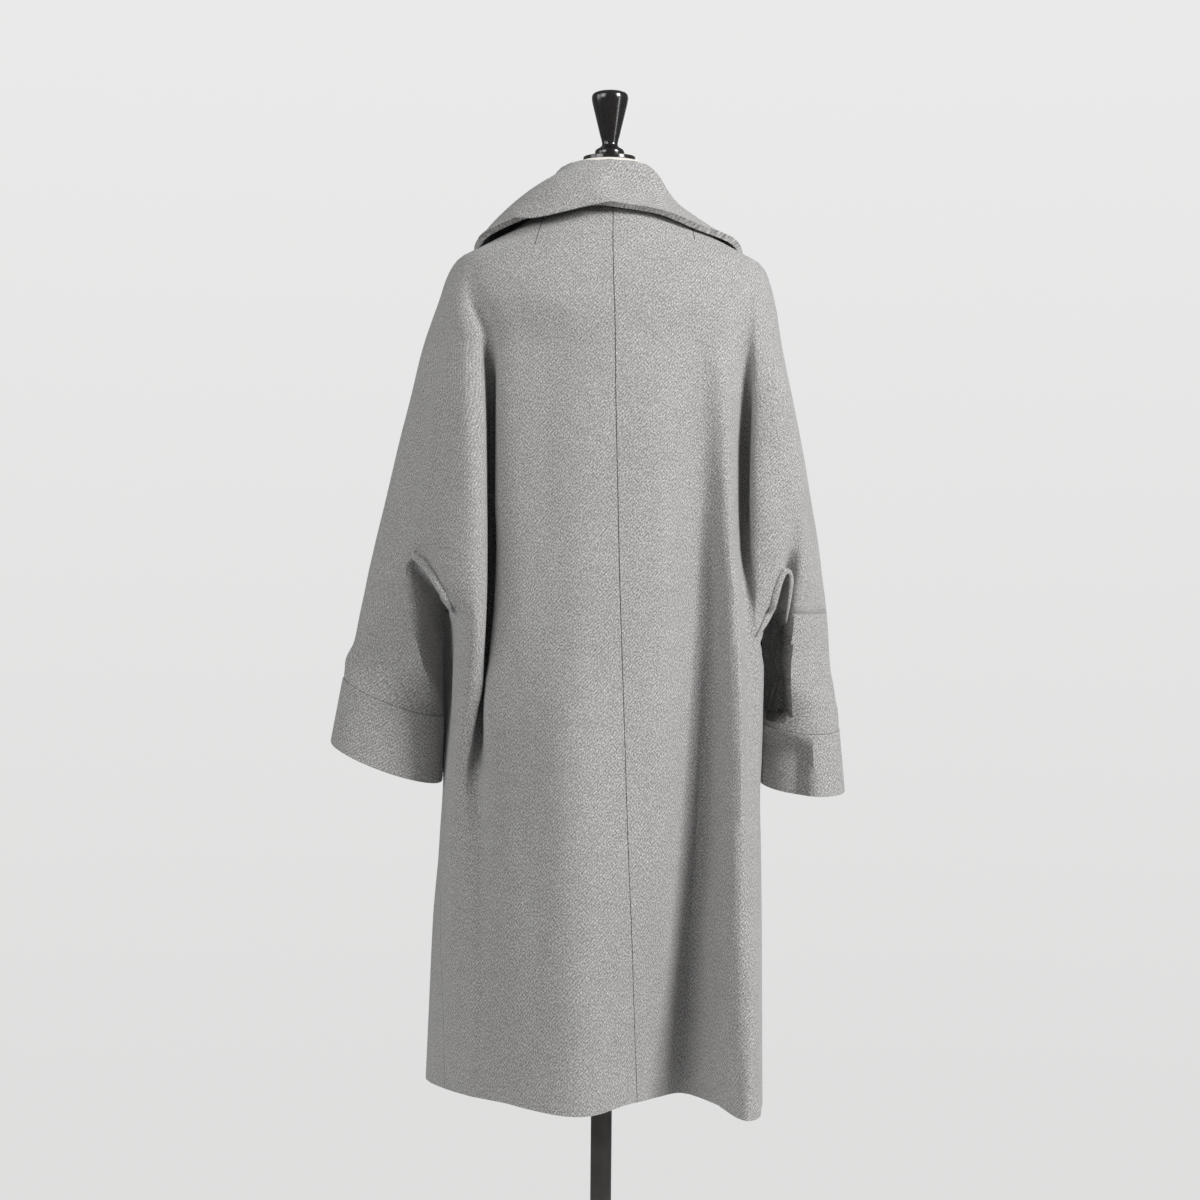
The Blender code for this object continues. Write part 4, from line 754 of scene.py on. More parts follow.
def creased(points, normals):
    """The points, moved in and out along their normals for the soft creases."""
    points, normals = np.array(points), np.array(normals)
    moved = np.zeros(len(points))
    for facing, line, half_width, height in CREASES:
        direction, side = CREASE_FACING[facing]
        direction = np.array(direction, float)
        across = points[:, 0] if facing in ("back", "front") else points[:, 1]
        place = np.stack([across, points[:, 2]], axis=1) / MM
        line = np.array(line, float)
        lengths = np.linalg.norm(np.diff(line, axis=0), axis=1)
        start = np.concatenate([[0], np.cumsum(lengths)]) / lengths.sum()
        near = np.full(len(points), 1e9)
        along = np.zeros(len(points))
        for k in range(len(line) - 1):
            span = line[k + 1] - line[k]
            t = np.clip((place - line[k]) @ span / (span @ span), 0, 1)
            distance = np.linalg.norm(place - line[k] - t[:, None] * span, axis=1)
            closer = distance < near
            near[closer] = distance[closer]
            along[closer] = (start[k] + t * (start[k + 1] - start[k]))[closer]
        taper = np.clip(np.minimum(along, 1 - along) / END_TAPER, 0, 1)
        taper = END_LEAST + (1 - END_LEAST) * taper * taper * (3 - 2 * taper)
        faced = normals[:, :2] @ direction
        facing_share = np.clip((faced - FACING_FROM) / (FACING_FULL - FACING_FROM), 0, 1)
        on_side = np.where(side * points[:, 0] >= 0, 1.0, 0.0)
        moved += height * MM * taper * facing_share * on_side * np.exp(-(near / half_width) ** 2)
    return points + moved[:, None] * normals


def hollowed(points):
    """The points, with those over the right underarm's hollow set down on its far wall."""
    points = np.array(points)
    place = points[:, [0, 2]] / MM
    outline = np.array(HOLLOW, float)
    near = np.full(len(points), 1e9)
    inside = np.zeros(len(points), bool)
    for start, stop in zip(outline, np.roll(outline, -1, axis=0)):
        span = stop - start
        t = np.clip((place - start) @ span / (span @ span), 0, 1)
        near = np.minimum(near, np.linalg.norm(place - start - t[:, None] * span, axis=1))
        crosses = (start[1] > place[:, 1]) != (stop[1] > place[:, 1])
        at = start[0] + (place[:, 1] - start[1]) / (span[1] if span[1] else 1e-9) * span[0]
        inside ^= crosses & (place[:, 0] < at)
    share = np.where(inside, np.clip(near * MM / HOLLOW_EDGE, 0, 1), 0.0)
    points[:, 1] += share * (np.minimum(points[:, 1], HOLLOW_FLOOR) - points[:, 1])
    return points


def eased_sleeves(skin):
    """The coat's points, with the break at the underarm's height softened on the sleeves' outer cloth."""
    points = np.array(skin.points)
    top = len(UPPER_ROWS) - 1
    for side in ("left", "right"):
        for col in range(skin.at_seam + 1, skin.at_front_seam):
            run = [skin.vertex(side, "upper", top - k, col) for k in range(EASED_ROWS, 0, -1)]
            run += [skin.vertex(side, "sleeve", k, col) for k in range(EASED_ROWS + 1)]
            share = ease(abs(points[run[EASED_ROWS], 0]), EASED_FROM, EASED_WHOLE)
            for _ in range(EASED_PASSES):
                before, here, after = points[run[:-2]], points[run[1:-1]], points[run[2:]]
                place = ((here[:, 2] - before[:, 2]) / (after[:, 2] - before[:, 2]))[:, None]
                points[run[1:-1], :2] += share / 2 * (before + place * (after - before) - here)[:, :2]
    return points


def cloth_places(skin):
    """Where each vertex lies on each panel's cloth, across and up in metres, for its weave."""
    places = {}
    body_columns = list(range(skin.at_seam + 1)) + list(range(skin.at_front_seam, skin.last + 1))
    sleeve_columns = list(range(skin.at_seam, skin.at_front_seam + 1))
    parts = (
        ("upper", len(UPPER_ROWS), list(range(skin.last + 1))),
        ("body", len(BODY_ROWS) + 1, body_columns),
        ("sleeve", len(SLEEVE_STEPS), sleeve_columns),
    )
    points = np.array(skin.points)
    for side in ("left", "right"):
        low_across = {}
        for part, rows, columns in parts:
            ids = np.array([[skin.vertex(side, part, row, col) for col in columns] for row in range(rows)])
            grid = points[ids]
            across_steps = np.linalg.norm(np.diff(grid, axis=1), axis=2)
            from_back = np.concatenate([np.zeros((rows, 1)), np.cumsum(across_steps, axis=1)], axis=1)
            to_front = from_back[:, -1:] - from_back
            for k, col in enumerate(columns):
                if part == "upper":
                    low_across[col] = from_back[-1, k], to_front[-1, k]
                if part == "sleeve":
                    from_back[:, k], to_front[:, k] = low_across[col]
                for panel, across in (("back_" + side, from_back), ("front_" + side, to_front)):
                    on_panel = col <= skin.at_over if panel.startswith("back") else col >= skin.at_over
                    if on_panel:
                        for row in range(rows):
                            place = (GRAIN_SIGN[panel] * across[row, k], grid[row, k, 2])
                            places[panel, ids[row, k]] = place
    return places


def boundary_edges(quads):
    """Directed edges that only one of the quads has."""
    edges = set()
    for quad in quads:
        edges.update(zip(quad, quad[1:] + quad[:1]))
    return [(a, b) for a, b in edges if (b, a) not in edges]


def set_cloth_map(mesh, places):
    """Keeps each vertex's place on the cloth as the mesh's UV map."""
    layer = mesh.uv_layers.new(name="cloth")
    corners = np.zeros(len(mesh.loops), int)
    mesh.loops.foreach_get("vertex_index", corners)
    layer.data.foreach_set("uv", np.array(places, np.float32)[corners].ravel())


def closed_wall(name, quads, outer, inner, places):
    """A mesh of the quads on the outer points, the same reversed on the inner ones, and the rim between.

    places gives each vertex's place on the cloth.
    """
    used = sorted({v for quad in quads for v in quad})
    place = {v: i for i, v in enumerate(used)}
    count = len(used)
    vertices = [tuple(outer[v]) for v in used] + [tuple(inner[v]) for v in used]
    faces = []
    for quad in quads:
        a, b, c, d = (place[v] for v in quad)
        faces += [(a, b, c, d), (d + count, c + count, b + count, a + count)]
    for first, second in boundary_edges(quads):
        a, b = place[first], place[second]
        faces.append((b, a, a + count, b + count))
    mesh = bpy.data.meshes.new(name)
    mesh.from_pydata(vertices, [], faces)
    outside = [places[v] for v in used]
    set_cloth_map(mesh, outside + [(across - RIM_SHIFT, up - RIM_SHIFT) for across, up in outside])
    return mesh


def inset_at_seams(points, normals, quads, distance):
    """Points moved by distance away from the panel's own boundary, within its surface."""
    moved = {v: np.array(points[v]) for quad in quads for v in quad}
    along = {}
    for a, b in boundary_edges(quads):
        for v in (a, b):
            along[v] = along.get(v, 0) + np.array(points[b]) - np.array(points[a])
    inward = {v: np.zeros(3) for v in along}
    for quad in quads:
        if not any(v in inward for v in quad):
            continue
        middle = np.mean([points[v] for v in quad], axis=0)
        for v in quad:
            if v in inward:
                inward[v] += middle - points[v]
    for v, direction in along.items():
        tangent = direction / max(np.linalg.norm(direction), 1e-9)
        push = inward[v] - (inward[v] @ tangent) * tangent
        push -= (push @ normals[v]) * normals[v]
        moved[v] += distance * push / max(np.linalg.norm(push), 1e-9)
    return moved


def add_piece(name, mesh, surface):
    """A piece of the coat or its form, riding on the body, with its material."""
    made = bpy.data.objects.new(name, mesh)
    mesh.materials.append(surface)
    mesh.shade_smooth()
    bpy.context.scene.collection.objects.link(made)
    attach(made, BODY)
    return made


def piece_from(bm, name, surface):
    """A piece from a bmesh, which isn't needed any more."""
    mesh = bpy.data.meshes.new(name)
    bm.to_mesh(mesh)
    bm.free()
    return add_piece(name, mesh, surface)


def ring_at(bm, centre, radius, across, up, sides):
    """Vertices round a circle that has these two directions in its plane."""
    turns = [2 * math.pi * k / sides for k in range(sides)]
    return [bm.verts.new(centre + radius * (math.cos(a) * across + math.sin(a) * up)) for a in turns]


def close_rings(bm, rings):
    """Faces between closed rings with as many vertices each, and one on each end."""
    sides = len(rings[0])
    for first, second in zip(rings, rings[1:]):
        for k in range(sides):
            after = (k + 1) % sides
            bm.faces.new((first[k], first[after], second[after], second[k]))
    bm.faces.new(list(reversed(rings[0])))
    bm.faces.new(rings[-1])


def grid_quads(stations, places):
    """Quads between the points of a grid, numbered row by row."""
    corners = [row * places + col for row in range(stations - 1) for col in range(places - 1)]
    return [(a, a + 1, a + places + 1, a + places) for a in corners]


def round_edges(piece, width):
    bevel = piece.modifiers.new("RoundEdges", "BEVEL")
    bevel.width = width
    bevel.segments = ROUND_SEGMENTS
    bevel.limit_method = "ANGLE"
    bevel.angle_limit = RIM_ANGLE
    bevel.use_clamp_overlap = True
    bevel.harden_normals = True


def make_panel(name, skin, normals, places, surface):
    quads = [quad for panel, quad in skin.quads if panel == name]
    outer = inset_at_seams(skin.points, normals, quads, SEAM_OPENING / 2)
    inner = {v: point - CLOTH * normals[v] for v, point in outer.items()}
    own_places = {v: place for (panel, v), place in places.items() if panel == name}
    mesh = closed_wall("cloth_" + name, quads, outer, inner, own_places)
    made = add_piece("cloth_" + name, mesh, surface)
    round_edges(made, EDGE_ROUND)
    return made


def grid_normals(grid, closed):
    """Unit normals of a grid of points, rows first, whose columns may close on themselves."""
    if closed:
        across = np.roll(grid, -1, axis=1) - np.roll(grid, 1, axis=1)
    else:
        across = np.gradient(grid, axis=1)
    down = np.gradient(grid, axis=0)
    normal = np.cross(across, down)
    return normal / np.maximum(np.linalg.norm(normal, axis=2), 1e-12)[:, :, None]


def make_cuff(side, skin, normals, surface):
    """A doubled band below the sleeve, from the sleeve's own last row to the cuff's foot."""
    ids = skin.sleeve_end(side)
    count = len(ids)
    top = np.array([skin.plain[v] for v in ids]) - SEAM_GAP * mouth_axis(side)
    foot = np.array([cuff_point(side, "foot", turn) for turn in cuff_turns(side, skin.sleeve_faces)])
    grid = np.array([top * (1 - share) + foot * share for share in CUFF_ROWS])
    outward = grid_normals(grid, closed=True)
    if side == "right":
        outward = -outward
    outward[0] = np.array([normals[v] for v in ids])
    grid = creased(grid.reshape(-1, 3), outward.reshape(-1, 3)).reshape(grid.shape)
    if side == "right":
        for share, row in zip(CUFF_ROWS, grid):
            for point in row:
                set_back = ease(point[0], CUFF_SET_FROM, CUFF_SET_WHOLE) * ease(point[1], *CUFF_SET_DEPTHS)
                point[1] -= CUFF_SET_BACK * set_back * ease(share, 0.0, CUFF_SET_ROWS)
    proud = (DOUBLED_CLOTH - CLOTH) / 2
    outer = grid + proud * outward
    inner = grid - (DOUBLED_CLOTH - proud) * outward
    quads = []
    for row in range(len(grid) - 1):
        upper, lower = row * count, (row + 1) * count
        for col in range(count):
            ahead = (col + 1) % count
            quad = (upper + col, upper + ahead, lower + ahead, lower + col)
            quads.append(quad if side == "left" else tuple(reversed(quad)))
    round_cuff = np.linalg.norm(np.roll(top, -1, axis=0) - top, axis=1)
    round_place = np.concatenate([[0], np.cumsum(round_cuff)[:-1]])
    places = {}
    for row, share in enumerate(CUFF_ROWS):
        for col in range(count):
            down = share * np.linalg.norm(foot[col] - top[col])
            places[row * count + col] = (round_place[col] * (-1 if side == "left" else 1), -down)
    name = "cloth_cuff_" + side
    mesh = closed_wall(name, quads, outer.reshape(-1, 3), inner.reshape(-1, 3), places)
    made = add_piece(name, mesh, surface)
    round_edges(made, EDGE_ROUND)
    return made, outer, outward


def collar_stations(skin, normals):
    """For each half, the seam's points from the centre back to the lapel's break, with two directions.

    The first direction is the coat's outward one, the second leads off the coat's edge.
    """
    break_row = max(row for row, level in enumerate(UPPER_ROWS) if level * MM >= LAPEL_BREAK_HEIGHT)
    halves = []
    for side, sign in (("right", -1), ("left", 1)):
        columns = list(range(0, skin.at_over, NECK_STEP)) + list(range(skin.at_over, skin.last, NECK_STEP))
        neck = [(0, col) for col in columns + [skin.last]]
        front = [(row, skin.last) for row in range(1, break_row + 1)]
        ids = [skin.vertex(side, "upper", row, col) for row, col in neck + front]
        line = np.array([skin.points[v] for v in ids])
        along = np.gradient(line, axis=0)
        along[0] = (sign, 0, 0)
        half = []
        for v, point, tangent in zip(ids, line, along):
            away = sign * np.cross(tangent, normals[v])
            away /= np.linalg.norm(away)
            half.append((point - CLOTH / 2 * normals[v] + SEAM_GAP * away, normals[v], away))
        halves.append(half)
    return halves


def collar_section(seam, normal, roll, edge, bulge):
    """Points from the seam up the stand, round the roll and down the fall to the outer edge."""
    up = (roll - seam) / np.linalg.norm(roll - seam)
    over = normal - (normal @ up) * up
    over /= np.linalg.norm(over)
    fall = edge - roll
    lift = np.array([0, 0, 1.0]) - fall * fall[2] / (fall @ fall)
    lift *= bulge / np.linalg.norm(lift)
    keys = [
        seam,
        roll - ROLL_RADIUS * (over + up),
        roll,
        roll + ROLL_RADIUS * (over - up),
        *(roll + share * fall + height * lift for share, height in FALL_POINTS),
        edge,
    ]
    return spline(keys, COLLAR_FACES)


def clear_of_coat(grid, tree):
    """Moves the fall's points out to at least their clearance from the coat's outer surface."""
    least = DOUBLED_CLOTH / 2 + COLLAR_CLEARANCE
    for station in grid:
        for place in range(sum(COLLAR_FACES[:3]), len(station)):
            near, normal, _, _ = tree.find_nearest(Vector(station[place]))
            away = (Vector(station[place]) - near) @ normal
            if away < least:
                station[place] += (least - away) * np.array(normal)
    return grid


def distances_along(line):
    """Each point's distance from the line's first one, along the line."""
    return np.concatenate([[0], np.cumsum(np.linalg.norm(np.diff(line, axis=0), axis=1))])


def value_at(distance, run, values):
    """The row between values, which belong to the distances in run, at this distance."""
    return np.array([np.interp(distance, run, values[:, axis]) for axis in range(3)])


def at_distances(line, distances):
    """Points on a line of points at these distances from its last one."""
    back = line[::-1]
    run = distances_along(back)
    return np.array([value_at(distance, run, back) for distance in distances])


def sewn_edge(section):
    """The section with its last points set out again to suit the rows of stitches near the edge."""
    length = distances_along(section[::-1])[-1]
    keep = len(section) - COLLAR_FACES[-1]
    body = at_distances(section, np.linspace(length, PLAIN_FROM, keep))
    edge = at_distances(section, [d * MM for d in EDGE_FACES[::-1]])
    return np.vstack([section[:1], body[1:], edge])


def collar_places(grid):
    """Each point's place on the collar's cloth, across and along its fall, for its weave."""
    places = {}
    for k, (x, y, z) in enumerate(grid.reshape(-1, 3)):
        places[k] = (-x, COLLAR_GRAIN[1] * z - COLLAR_GRAIN[0] * abs(y - COLLAR_RIDGE))
    return places


def make_collar(skin, normals, tree, surface):
    """The folded collar, with its middle, its upper face and its outward directions."""
    rows, seam_normals = [], []
    for side, sign, half in zip(("right", "left"), (-1, 1), collar_stations(skin, normals)):
        length = 0.0
        sections = []
        for place, (seam, normal, away) in enumerate(half):
            if place:
                length += np.linalg.norm(seam - half[place - 1][0])
            roll = smooth_table(COLLAR_ROLL[side], length / MM) * MM * np.array([sign, 1, 1])
            lapel_roll = seam + LAPEL_ROLL_OUT * away + LAPEL_ROLL_UP * normal
            lapel = ease(length, LAPEL_START, LAPEL_WHOLE)
            roll = roll * (1 - lapel) + lapel_roll * lapel
            edge = smooth_table(COLLAR_EDGE[side], length / MM) * MM * np.array([sign, 1, 1])
            sections.append(collar_section(seam, normal, roll, edge, COLLAR_BULGE[side]))
            seam_normals.append(normal)
        rows.append(sections)
    grid = clear_of_coat(np.array(rows[0][::-1] + rows[1][1:]), tree)
    grid = np.array([sewn_edge(section) for section in grid])
    outward = grid_normals(grid, closed=False)
    # the collar's wall meets the coat's wall face to face along the seam
    count = len(rows[0])
    outward[:, 0] = np.array(seam_normals[:count][::-1] + seam_normals[count + 1:])
    places = grid.shape[1]
    thick = np.full(grid.shape[:2], DOUBLED_CLOTH / 2)
    under_thick = thick.copy()
    for place, distance in zip(range(places - 1, -1, -1), EDGE_FACES):
        sink = sum(math.exp(-(((distance * MM - row) / SINK_WIDTH) ** 2)) for row in STITCH_ROWS)
        puff = EDGE_PUFF * (1 - ease(distance * MM, 0.5 * PUFF_REACH, PUFF_REACH))
        thick[:, place] += puff - STITCH_SINK * sink
        under_thick[:, place] += puff
    top = grid + thick[:, :, None] * outward
    under = grid - under_thick[:, :, None] * outward
    quads = grid_quads(*grid.shape[:2])
    mesh = closed_wall("cloth_collar", quads, top.reshape(-1, 3), under.reshape(-1, 3), collar_places(grid))
    made = add_piece("cloth_collar", mesh, surface)
    round_edges(made, COLLAR_EDGE_ROUND)
    return made, grid, top, outward


def make_collar_turn(grid, outward, tree, surface):
    """The under layer past the collar's edge at the left; gives the line that its stitches follow."""
    table = [(across, reach, 0.0) for across, reach in TURN_REACH]
    rows, facing = [], []
    for station, up in zip(grid, outward):
        edge = station[-1]
        across = edge[0] / MM
        if not (TURN_REACH[0][0] <= across <= TURN_REACH[-1][0] and edge[1] > 0):
            continue
        reach = max(smooth_table(table, across)[0], TURN_LEAST) * MM
        ahead = edge - station[-TURN_AHEAD]
        ahead /= np.linalg.norm(ahead)
        row = []
        for k in range(TURN_FACES + 1):
            out = reach - (TURN_INSIDE + reach) * (1 - k / TURN_FACES)
            point = edge + ahead * out - TURN_SINK * up[-1]
            near, normal, _, _ = tree.find_nearest(Vector(point))
            near, normal = np.array(near), np.array(normal)
            row.append(point + max(TURN_WALL / 2 + SEAM_GAP - (point - near) @ normal, 0.0) * normal)
        rows.append(row)
        facing.append([up[-1]] * (TURN_FACES + 1))
    middle, facing = np.array(rows), np.array(facing)
    top, under = middle + TURN_WALL / 2 * facing, middle - TURN_WALL / 2 * facing
    quads = grid_quads(*middle.shape[:2])
    mesh = closed_wall("collar_turn", quads, top.reshape(-1, 3), under.reshape(-1, 3), collar_places(middle))
    round_edges(add_piece("collar_turn", mesh, surface), EDGE_ROUND)
    line = np.array([at_distances(row, [TURN_STITCH])[0] for row in top])
    return line, facing[:, -1]


def make_roll(side, tree, surface):
    """The cloth rolled over at an underarm: a soft tapered ridge that lies on the back."""
    keys = UNDERARM_ROLLS[side]
    line = spline([np.array(key) * MM for key in keys], [ROLL_STEPS] * (len(keys) - 1))
    looks = [(0, 0), (ROLL_REACH, 0), (-ROLL_REACH, 0), (0, ROLL_REACH), (0, -ROLL_REACH)]
    centres = []
    for across, height, radius in line:
        depth = max(on_back(tree, across + aside, height + up)[0][1] for aside, up in looks)
        centres.append((across, depth - ROLL_SINK * radius, height))
    centres = np.array(centres)
    for _ in range(ROLL_PASSES):
        centres[1:-1, 1] = (centres[:-2, 1] + 2 * centres[1:-1, 1] + centres[2:, 1]) / 4
    along = np.gradient(centres, axis=0)
    along /= np.linalg.norm(along, axis=1)[:, None]
    aside = np.cross((0.0, 1.0, 0.0), along)
    aside /= np.linalg.norm(aside, axis=1)[:, None]
    above = np.cross(along, aside)
    bm = bmesh.new()
    rings, cloth = [], []
    run = distances_along(centres)
    for centre, radius, side_way, up_way, length in zip(centres, line[:, 2], aside, above, run):
        rings.append(ring_at(bm, centre, max(radius, ROLL_LEAST), side_way, up_way, ROLL_SIDES))
        cloth += [(2 * math.pi * k / ROLL_SIDES * ROLL_CLOTH, length) for k in range(ROLL_SIDES)]
    close_rings(bm, rings)
    made = piece_from(bm, "underarm_roll_" + side, surface)
    set_cloth_map(made.data, cloth)
    return made


def stitch_run(bm, line, normals):
    """Short round stitches, end to end with gaps, along a line of points that lies on the cloth."""
    run = distances_along(line)
    pitch = STITCH_LENGTH + STITCH_GAP
    for k in range(int(run[-1] / pitch)):
        begin = k * pitch + STITCH_GAP / 2
        start = value_at(begin, run, line)
        ahead = value_at(begin + STITCH_LENGTH, run, line) - start
        length = np.linalg.norm(ahead)
        ahead /= length
        up = value_at(begin, run, normals)
        up /= np.linalg.norm(up)
        side = np.cross(up, ahead)
        rings = []
        for share, radius, rise in STITCH_SHAPE:
            centre = start + share * length * ahead + rise * STITCH_RADIUS * up
            rings.append(ring_at(bm, centre, radius * STITCH_RADIUS, side, up, STITCH_SIDES))
        close_rings(bm, rings)


def make_stitches(name, runs, surface):
    """One piece with the stitches of all these runs, each a line of points and their normals."""
    bm = bmesh.new()
    for line, normals in runs:
        stitch_run(bm, line, normals)
    bmesh.ops.recalc_face_normals(bm, faces=bm.faces)
    piece_from(bm, name, surface)


def collar_runs(top, outward):
    """The two rows of stitches along the collar's edge."""
    runs = []
    places = top.shape[1]
    for row in STITCH_ROWS:
        place = places - 1 - min(range(len(EDGE_FACES)), key=lambda k: abs(EDGE_FACES[k] * MM - row))
        runs.append((top[STITCH_CLEAR:-STITCH_CLEAR, place], outward[STITCH_CLEAR:-STITCH_CLEAR, place]))
    return runs


def cuff_runs(outer, outward):
    """The rows of stitches beside a cuff's upright seam."""
    runs = []
    for place in CUFF_STITCHES:
        low, share = int(place), place - int(place)
        after = (low + 1) % outer.shape[1]
        line = outer[:, low] * (1 - share) + outer[:, after] * share
        normals = outward[:, low] * (1 - share) + outward[:, after] * share
        runs.append((line, normals))
    return runs


def front_edge_runs(skin, normals):
    """Two rows of stitches down the right front's edge, from the lapel's break to the hem."""
    runs = []
    for inside in STITCH_ROWS:
        line, up = [], []
        for part, rows in (("upper", range(len(UPPER_ROWS) - 1)), ("body", range(len(BODY_ROWS)))):
            for row in rows:
                if part == "upper" and UPPER_ROWS[row] * MM > FRONT_STITCH_TOP:
                    continue
                ids = [skin.vertex("right", part, row, skin.last - k) for k in range(FRONT_STITCH_COLUMNS)]
                points = np.array([skin.points[v] for v in ids])
                line.append(value_at(inside, distances_along(points), points))
                up.append(normals[ids[1]])
        runs.append((np.array(line), np.array(up)))
    return runs


def tube(bm, line, radius):
    """A closed round tube along a line of points."""
    rings = []
    up = np.array([0.0, 0.0, 1.0])
    for point, ahead in zip(line, np.gradient(line, axis=0)):
        ahead = ahead / np.linalg.norm(ahead)
        side = np.cross(up, ahead)
        if np.linalg.norm(side) < 0.1:
            side = np.cross([1.0, 0.0, 0.0], ahead)
        side /= np.linalg.norm(side)
        up = np.cross(ahead, side)
        rings.append(ring_at(bm, point, radius, side, up, TUBE_SIDES))
    close_rings(bm, rings)


def seam_columns(skin):
    """Lines of vertices along the coat's seams: centre back, over both arms, and up both sides."""
    upper, body = range(len(UPPER_ROWS)), range(1, len(BODY_ROWS) + 1)
    sleeve = range(1, len(SLEEVE_STEPS))
    lines = [[("left", "upper", row, 0) for row in upper] + [("left", "body", row, 0) for row in body]]
    for side in ("left", "right"):
        over = [(side, "upper", row, skin.at_over) for row in upper]
        lines.append(over + [(side, "sleeve", row, skin.at_over) for row in sleeve])
        underarm = (side, "upper", len(UPPER_ROWS) - 1, skin.at_seam)
        lines.append([underarm] + [(side, "body", row, skin.at_seam) for row in body])
        lines.append([underarm] + [(side, "sleeve", row, skin.at_seam) for row in sleeve])
    return [[skin.vertex(*place) for place in line] for line in lines]


def make_seams(skin, normals, surface):
    """The folded cloth at the bottom of the seams' grooves, in dark wool that paints their shade as a dark
    line.
    """
    bm = bmesh.new()
    for ids in seam_columns(skin):
        line = np.array([skin.points[v] - SEAM_DEPTH * normals[v] for v in ids])
        tube(bm, line, SEAM_CORD)
    for side in ("left", "right"):
        ids = skin.sleeve_end(side)
        ring = np.array([skin.points[v] - SEAM_DEPTH * normals[v] for v in ids + ids[:1]])
        tube(bm, ring - SEAM_GAP / 2 * mouth_axis(side), SEAM_CORD)
    piece_from(bm, "seam_folds_painted_shade", surface)


def on_back(tree, across, height):
    """The outermost place on the coat's back at a place across and up, with its outward direction."""
    place, normal, _, _ = tree.ray_cast(Vector((across, 1.0, height)), Vector((0, -1, 0)))
    return np.array(place), np.array(normal)


def make_darts(tree, surface):
    """The two short darts below the back neck, as fine lines of painted shade that fade into the cloth."""
    bm = bmesh.new()
    for line in DARTS:
        places = [on_back(tree, x * MM, z * MM) for x, z in finer_line(line, DART_STEP)]
        points = []
        for k, (place, normal) in enumerate(places):
            # the lower end dips out of sight
            sink = DART_RADIUS * (DART_SINK + ease(k / (len(places) - 1), DART_FADE, 1.0))
            points.append(place - sink * normal)
        tube(bm, np.array(points), DART_RADIUS)
    piece_from(bm, "neck_darts_painted_shade", surface)


def finer_line(line, step):
    """Points along a polyline, none further apart than step."""
    out = []
    for a, b in zip(line, line[1:]):
        count = max(1, math.ceil(math.dist(a, b) / step))
        out += [tuple(a[i] + (b[i] - a[i]) * k / count for i in range(2)) for k in range(count)]
    return out + [line[-1]]


def lathe(name, profile, sides, surface, round_width=0.0):
    """A turned piece round the Z axis, from rows of height and radius that run from the top down."""
    bm = bmesh.new()
    rings = []
    for height, radius in profile:
        if radius <= 0:
            rings.append([bm.verts.new((0, 0, height))])
        else:
            centre, across, deep = np.array((0, 0, height)), np.array((1, 0, 0)), np.array((0, 1, 0))
            rings.append(ring_at(bm, centre, radius, across, deep, sides))
    for high, low in zip(rings, rings[1:]):
        for k in range(sides):
            after = (k + 1) % sides
            corners = (high, k), (low, k), (low, after), (high, after)
            bm.faces.new(list(dict.fromkeys(ring[place % len(ring)] for ring, place in corners)))
    made = piece_from(bm, name, surface)
    if round_width:
        round_edges(made, round_width)
    return made


def make_form(surface):
    """The limbless form: smooth ovals up the body, with the front and back depths of their own."""
    table = sorted(FORM)
    levels = np.linspace(table[0][0], table[-1][0], FORM_RINGS)
    levels = sorted(set(levels) | {row[0] for row in table})
    bm = bmesh.new()
    rings = []
    for height in levels:
        width, back, front = smooth_table(table, height)
        ring = []
        for k in range(FORM_SIDES):
            a = 2 * math.pi * k / FORM_SIDES
            deep = back if math.sin(a) > 0 else front
            ring.append(bm.verts.new((width * math.cos(a) * MM, deep * math.sin(a) * MM, height * MM)))
        rings.append(ring)
    close_rings(bm, rings)
    return piece_from(bm, "form_cover", surface)


